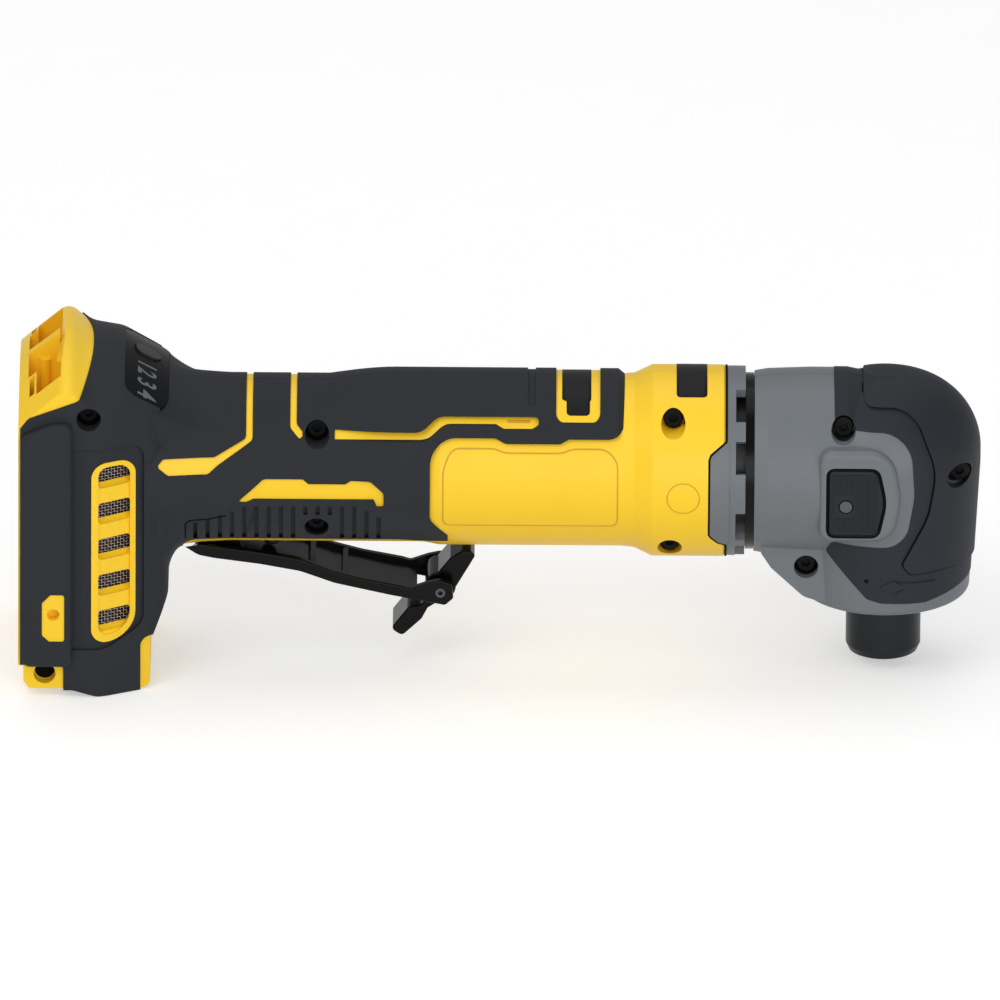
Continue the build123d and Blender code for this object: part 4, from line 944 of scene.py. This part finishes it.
@dataclass
class ControlPanel:
    """The speed panel's printed figures."""

    crown_z: float = 15.0
    top: Pair = (-236.5, 99.6)
    low: Pair = (-219.5, 90.6)
    proud: float = 0.30
    ink: float = 0.05
    digit_height: float = 5.6
    digit_weight: float = 0.022
    digit_x: float = -231.2
    digit_y: Sequence[float] = (-5.8, -10.7, -16.9, -22.8)

    def place(self, along: Array, y: Array) -> Array:
        """Points on the crowned slope: a cone about a line along X at crown_z.

        Args:
            along: X of each point.
            y: Distance round the crown, from the middle plane.

        Returns:
            Points of shape (n, 3).
        """
        fall = (self.top[1] - self.low[1]) / (self.low[0] - self.top[0])
        slope = self.top[1] - (along - self.top[0]) * fall
        radius = slope - self.crown_z + (self.proud + self.ink) / math.cos(math.atan(fall))
        angle = y / radius
        return np.stack([along, radius * np.sin(angle), self.crown_z + radius * np.cos(angle)], axis=-1)

    def build(self) -> None:
        """Print plain figures 1 to 4: the built-in font made a mesh, then wrapped on to the crown."""
        for number, y in enumerate(self.digit_y, 1):
            curve = bpy.data.curves.new(f"speed_{number}", "FONT")
            curve.body = str(number)
            curve.align_x = "CENTER"
            curve.offset = self.digit_weight
            curve.fill_mode = "FRONT"
            text = bpy.data.objects.new(f"speed_{number}", curve)
            bpy.context.scene.collection.objects.link(text)
            mesh = bpy.data.meshes.new_from_object(text)
            flat = np.array([tuple(vertex.co) for vertex in mesh.vertices])
            faces = np.array([tuple(face.vertices) for face in mesh.polygons])
            bpy.data.objects.remove(text)
            bpy.data.meshes.remove(mesh)
            scale = self.digit_height / float(flat[:, 1].max())
            points = self.place(self.digit_x + flat[:, 1] * scale, y - flat[:, 0] * scale)
            piece(f"speed_figure_{number}", (points, faces), GREY_INK, smooth=False)


@dataclass
class Head:
    """The angle head's fine relief: a turning arrow, painted shade in its gaps and the lock button's ribs."""

    nose: Pair = (26.5, 21.6)
    shoulder: Pair = (28.7, 64.0)
    top_z: float = 90.2
    dome: float = 22.0
    elbow_x: Sequence[float] = (-24.0, -12.0, -2.0)
    elbow_radius: Sequence[float] = (29.2, 29.2, 27.2)
    skin: float = 0.2
    button_y: float = -30.6
    boss_y: float = -30.4
    pin: Pair = LOCK_PIN
    pin_gap: float = 2.1
    gap_width: float = 0.5
    gap_height: float = 0.12
    frame_width: float = 0.75
    frame_height: float = 0.05
    corner: float = 2.6
    dot: Pair = (-5.7, 33.7)
    dot_radius: float = 0.7
    dot_height: float = 0.15
    dot_edge: float = 0.2
    arrow_height: float = 0.4
    arrow_edge: float = 0.3
    arrow_corner: float = 0.5
    rib_x: Pair = (-16.4, -2.6)
    rib_z: Pair = (51.6, 70.8)
    rib_break: Pair = (56.4, 63.8)
    rib_clear: float = 3.2
    rib_pitch: float = 1.05
    rib_width: float = 0.55
    rib_height: float = 0.22

    def cover(self, x: Array, z: Array) -> Array:
        """The cover's near side: a cone from nose to shoulder, a dome above it and the motor line's barrel.

        Args:
            x: Place along the handle.
            z: Height.

        Returns:
            Y there.
        """
        share = np.clip((z - self.nose[1]) / (self.shoulder[1] - self.nose[1]), 0.0, 1.0)
        over = np.clip(z - (self.top_z - self.dome), 0.0, self.dome)
        rounding = self.dome - np.sqrt(self.dome ** 2 - over ** 2)
        radius = self.nose[0] + (self.shoulder[0] - self.nose[0]) * share - rounding + self.skin
        barrel = np.interp(x, self.elbow_x, self.elbow_radius, right=0.0) + self.skin
        return -np.maximum(half_chord(radius, x), half_chord(barrel, z - AXIS_Z))

    def arrow(self) -> None:
        """A low raised arrow on the lower cover, showing which way the spindle turns, and a dot."""
        corners = [(-1.7, 32.0), (3.2, 34.3), (3.1, 33.5), (8.2, 33.0), (16.0, 32.6), (16.0, 30.2), (3.4, 30.7),
                   (2.4, 29.3)]
        outline = resample(rounded(corners, self.arrow_corner), 90, True)
        arrow = plaque(outline, side_view(self.cover), self.arrow_height, self.arrow_edge)
        piece("turning_arrow", arrow, HEAD_TPE)
        # the dot is near-black, in the same finish as the painted gap shade
        disc = circle(self.dot, self.dot_radius, 24)
        dot = plaque(disc, side_view(self.cover), self.dot_height, self.dot_edge, 3)
        piece("turning_dot", dot, GAP_SHADE)

    def pad_border(self) -> None:
        """Painted shade of the gap along the raised pad's edge, each side, from the dome round the heel to the
        front.
        """
        corners = [(-7.3, 91.0), (-7.3, 87.9), (8.4, 87.9), (15.7, 70.0), (13.3, 55.0), (5.1, 39.4), (7.8, 35.7),
                   (19.0, 35.6), (26.9, 34.6)]
        bend = bent(corners, (2.8, 10.7, 19.7, 19.7, 2.0, 2.5, 8.0))
        near = bead(resample(bend, 260), False, self.gap_width, self.gap_height, side_view(self.cover))
        piece("pad_border", both_sides(near), GAP_SHADE)

    def pin_ring(self) -> None:
        """Painted shade of the gap round the lock pin's face in the button."""
        ring = circle(self.pin, self.pin_gap, 48)
        gap = bead(ring, True, self.gap_width, self.gap_height, side_view(flat_side(self.button_y)))
        piece("lock_pin_gap_shade", gap, GAP_SHADE, Body.LOCK_BUTTON)

    def button_gap(self) -> None:
        """Painted shade of the gap round the lock button, on the flat of its boss."""
        corners = [(-18.1, 49.9), (-2.2, 49.9), (-0.2, 59.4), (-0.2, 63.0), (-2.2, 72.5), (-18.1, 72.5)]
        loop = resample(rounded(corners, self.corner), 160, True)
        gap = bead(loop, True, self.frame_width, self.frame_height, side_view(flat_side(self.boss_y)))
        piece("lock_button_gap_shade", gap, GAP_SHADE)

    def button_ribs(self) -> None:
        """Fine upright ribs on the lock button, clear of the pin."""
        ribs = []
        for x in np.arange(*self.rib_x, self.rib_pitch):
            spans = [self.rib_z]
            if abs(x - self.pin[0]) < self.rib_clear:
                spans = [(self.rib_z[0], self.rib_break[0]), (self.rib_break[1], self.rib_z[1])]
            for low, high in spans:
                line = resample(np.array([(x, low), (x, high)]), 24)
                ribs.append(bead(line, False, self.rib_width, self.rib_height,
                                 side_view(flat_side(self.button_y)), 5))
        piece("lock_button_ribs", join(ribs), BUTTON_NYLON, Body.LOCK_BUTTON)

    def build(self) -> None:
        """Build the relief."""
        self.button_ribs()
        self.button_gap()
        self.pin_ring()
        self.arrow()
        self.pad_border()


@dataclass
class LockSpring:
    """The lock button's return spring, drawn as one fixed coil that rides on the housing."""

    centre: Pair = LOCK_PIN
    ends: Pair = (-23.6, -15.5)
    radius: float = 2.75
    wire: float = 0.4
    turns: int = 6
    rows: int = 240
    sides: int = 10
    taper: float = 60.0
    tip: float = 0.02
    press: float = 3.0
    joint: str = "spindle_lock_press"

    def build(self) -> None:
        """A tube along a helix: x and z go round with the angle, y runs evenly from end to end.

        The wire's radius falls to a small tip over the first and last sixtieth of its length.
        """
        t = np.linspace(0.0, 1.0, self.rows)[:, None]
        turn = FULL_TURN * self.turns * t
        round_wire = np.linspace(0.0, FULL_TURN, self.sides, endpoint=False)[None]
        wire = self.wire * np.clip(np.minimum(t, 1.0 - t) * self.taper, self.tip, 1.0)
        out = self.radius + wire * np.cos(round_wire)
        y = self.ends[0] + (self.ends[1] - self.ends[0]) * t + wire * np.sin(round_wire)
        points = np.stack([self.centre[0] + out * np.cos(turn), y, self.centre[1] + out * np.sin(turn)], axis=-1)
        faces = grid_faces(self.rows, self.sides, True)[:, ::-1]
        spring = piece("lock_button_coil", (points.reshape(-1, 3), faces), GROUND_STEEL)
        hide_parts("lock_button_spring")
        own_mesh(spring)


@dataclass
class Studio:
    """A pale floor, soft lamps and the camera at the photograph's angle."""

    target_mm: Triple = (-119.2, 0.0, 49.0)
    elevation: float = 22.5
    azimuth: float = 0.0
    roll: float = 0.4
    distance: float = 10.0
    view_width: float = 0.31
    sensor_width: float = 36.0
    clip_end: float = 50.0
    floor_half: float = 6.0
    floor_gap: float = 0.0002
    surround: float = 0.4
    floor_glow: float = 0.44
    lamps: Sequence[tuple[str, Triple, float, float]] = (
        ("key_lamp", (-0.7, -0.9, 1.25), 1.0, 8.0),
        ("fill_lamp", (0.45, -1.5, 0.25), 1.3, 14.0),
        ("top_lamp", (-0.05, 0.45, 1.4), 1.2, 4.5),
    )

    def floor(self) -> None:
        """A wide flat sheet under the tool."""
        h = self.floor_half
        z = float(CAD_BOX[0].z) - self.floor_gap
        mesh = bpy.data.meshes.new("studio_floor")
        mesh.from_pydata([(-h, -h, z), (h, -h, z), (h, h, z), (-h, h, z)], [], [(0, 1, 2, 3)])
        sheet = bpy.data.objects.new("studio_floor", mesh)
        bpy.context.scene.collection.objects.link(sheet)
        made = FLOOR_PAPER.material()
        tree = made.node_tree
        shader = tree.nodes["Principled BSDF"]
        path = add(tree, "ShaderNodeLightPath")
        seen = path.outputs["Is Camera Ray"]
        for ray in ("Is Glossy Ray", "Is Transmission Ray"):
            seen = add(tree, "ShaderNodeMath", {"operation": "MAXIMUM"}, i0=seen, i1=path.outputs[ray]).outputs[0]
        glow = add(tree, "ShaderNodeMath", {"operation": "MULTIPLY"}, i0=seen)
        glow.inputs[1].default_value = self.floor_glow
        tree.links.new(glow.outputs[0], shader.inputs["Emission Strength"])
        shader.inputs["Emission Color"].default_value = (1.0, 1.0, 1.0, 1.0)
        mesh.materials.append(made)

    def world(self) -> None:
        """A dim, even white surround."""
        world = bpy.data.worlds.new("studio_world")
        bpy.context.scene.world = world
        world.use_nodes = True
        background = world.node_tree.nodes["Background"]
        background.inputs["Color"].default_value = (1.0, 1.0, 1.0, 1.0)
        background.inputs["Strength"].default_value = self.surround

    def lights(self) -> None:
        """Soft square lamps aimed at the tool's middle."""
        target = Vector(self.target_mm) * MM
        for name, place, size, watts in self.lamps:
            lamp = bpy.data.lights.new(name, "AREA")
            lamp.size = size
            lamp.energy = watts
            holder = bpy.data.objects.new(name, lamp)
            holder.location = Vector(place) + Vector((target.x, 0.0, 0.0))
            holder.rotation_euler = (target - holder.location).to_track_quat("-Z", "Y").to_euler()
            bpy.context.scene.collection.objects.link(holder)

    def camera(self) -> None:
        """A long lens at the photograph's height and direction, with its slight roll."""
        lens = bpy.data.cameras.new("photo_camera")
        lens.sensor_width = self.sensor_width
        lens.lens = self.sensor_width * self.distance / self.view_width
        lens.clip_end = self.clip_end
        holder = bpy.data.objects.new("photo_camera", lens)
        bpy.context.scene.collection.objects.link(holder)
        a, e = math.radians(self.azimuth), math.radians(self.elevation)
        back = Vector((math.sin(a) * math.cos(e), -math.cos(a) * math.cos(e), math.sin(e)))
        target = Vector(self.target_mm) * MM
        turn = (-back).to_track_quat("-Z", "Y").to_matrix().to_4x4()
        turn = turn @ Matrix.Rotation(math.radians(self.roll), 4, "Z")
        holder.matrix_world = Matrix.Translation(target + back * self.distance) @ turn
        bpy.context.scene.camera = holder

    def build(self) -> None:
        """Set the stage."""
        bpy.context.scene.view_settings.view_transform = "Standard"
        self.floor()
        self.world()
        self.lights()
        self.camera()


def dress_nodes() -> None:
    """Give every solid piece its finish."""
    for name, finish in NODE_FINISH.items():
        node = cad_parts[name]
        node.data.materials.clear()
        node.data.materials.append(finish.material())
        LOG.info("%s: %s", name, finish.name)


def main() -> None:
    """Build the stage and each sub-assembly in order."""
    logging.basicConfig(level=logging.INFO, format="%(message)s")
    Studio().build()
    dress_nodes()
    for assembly in (Housing(), SoftBlend(), IntakeScreen(), ControlPanel(), Head(), LockSpring()):
        assembly.build()


if __name__ == "__main__":
    main()
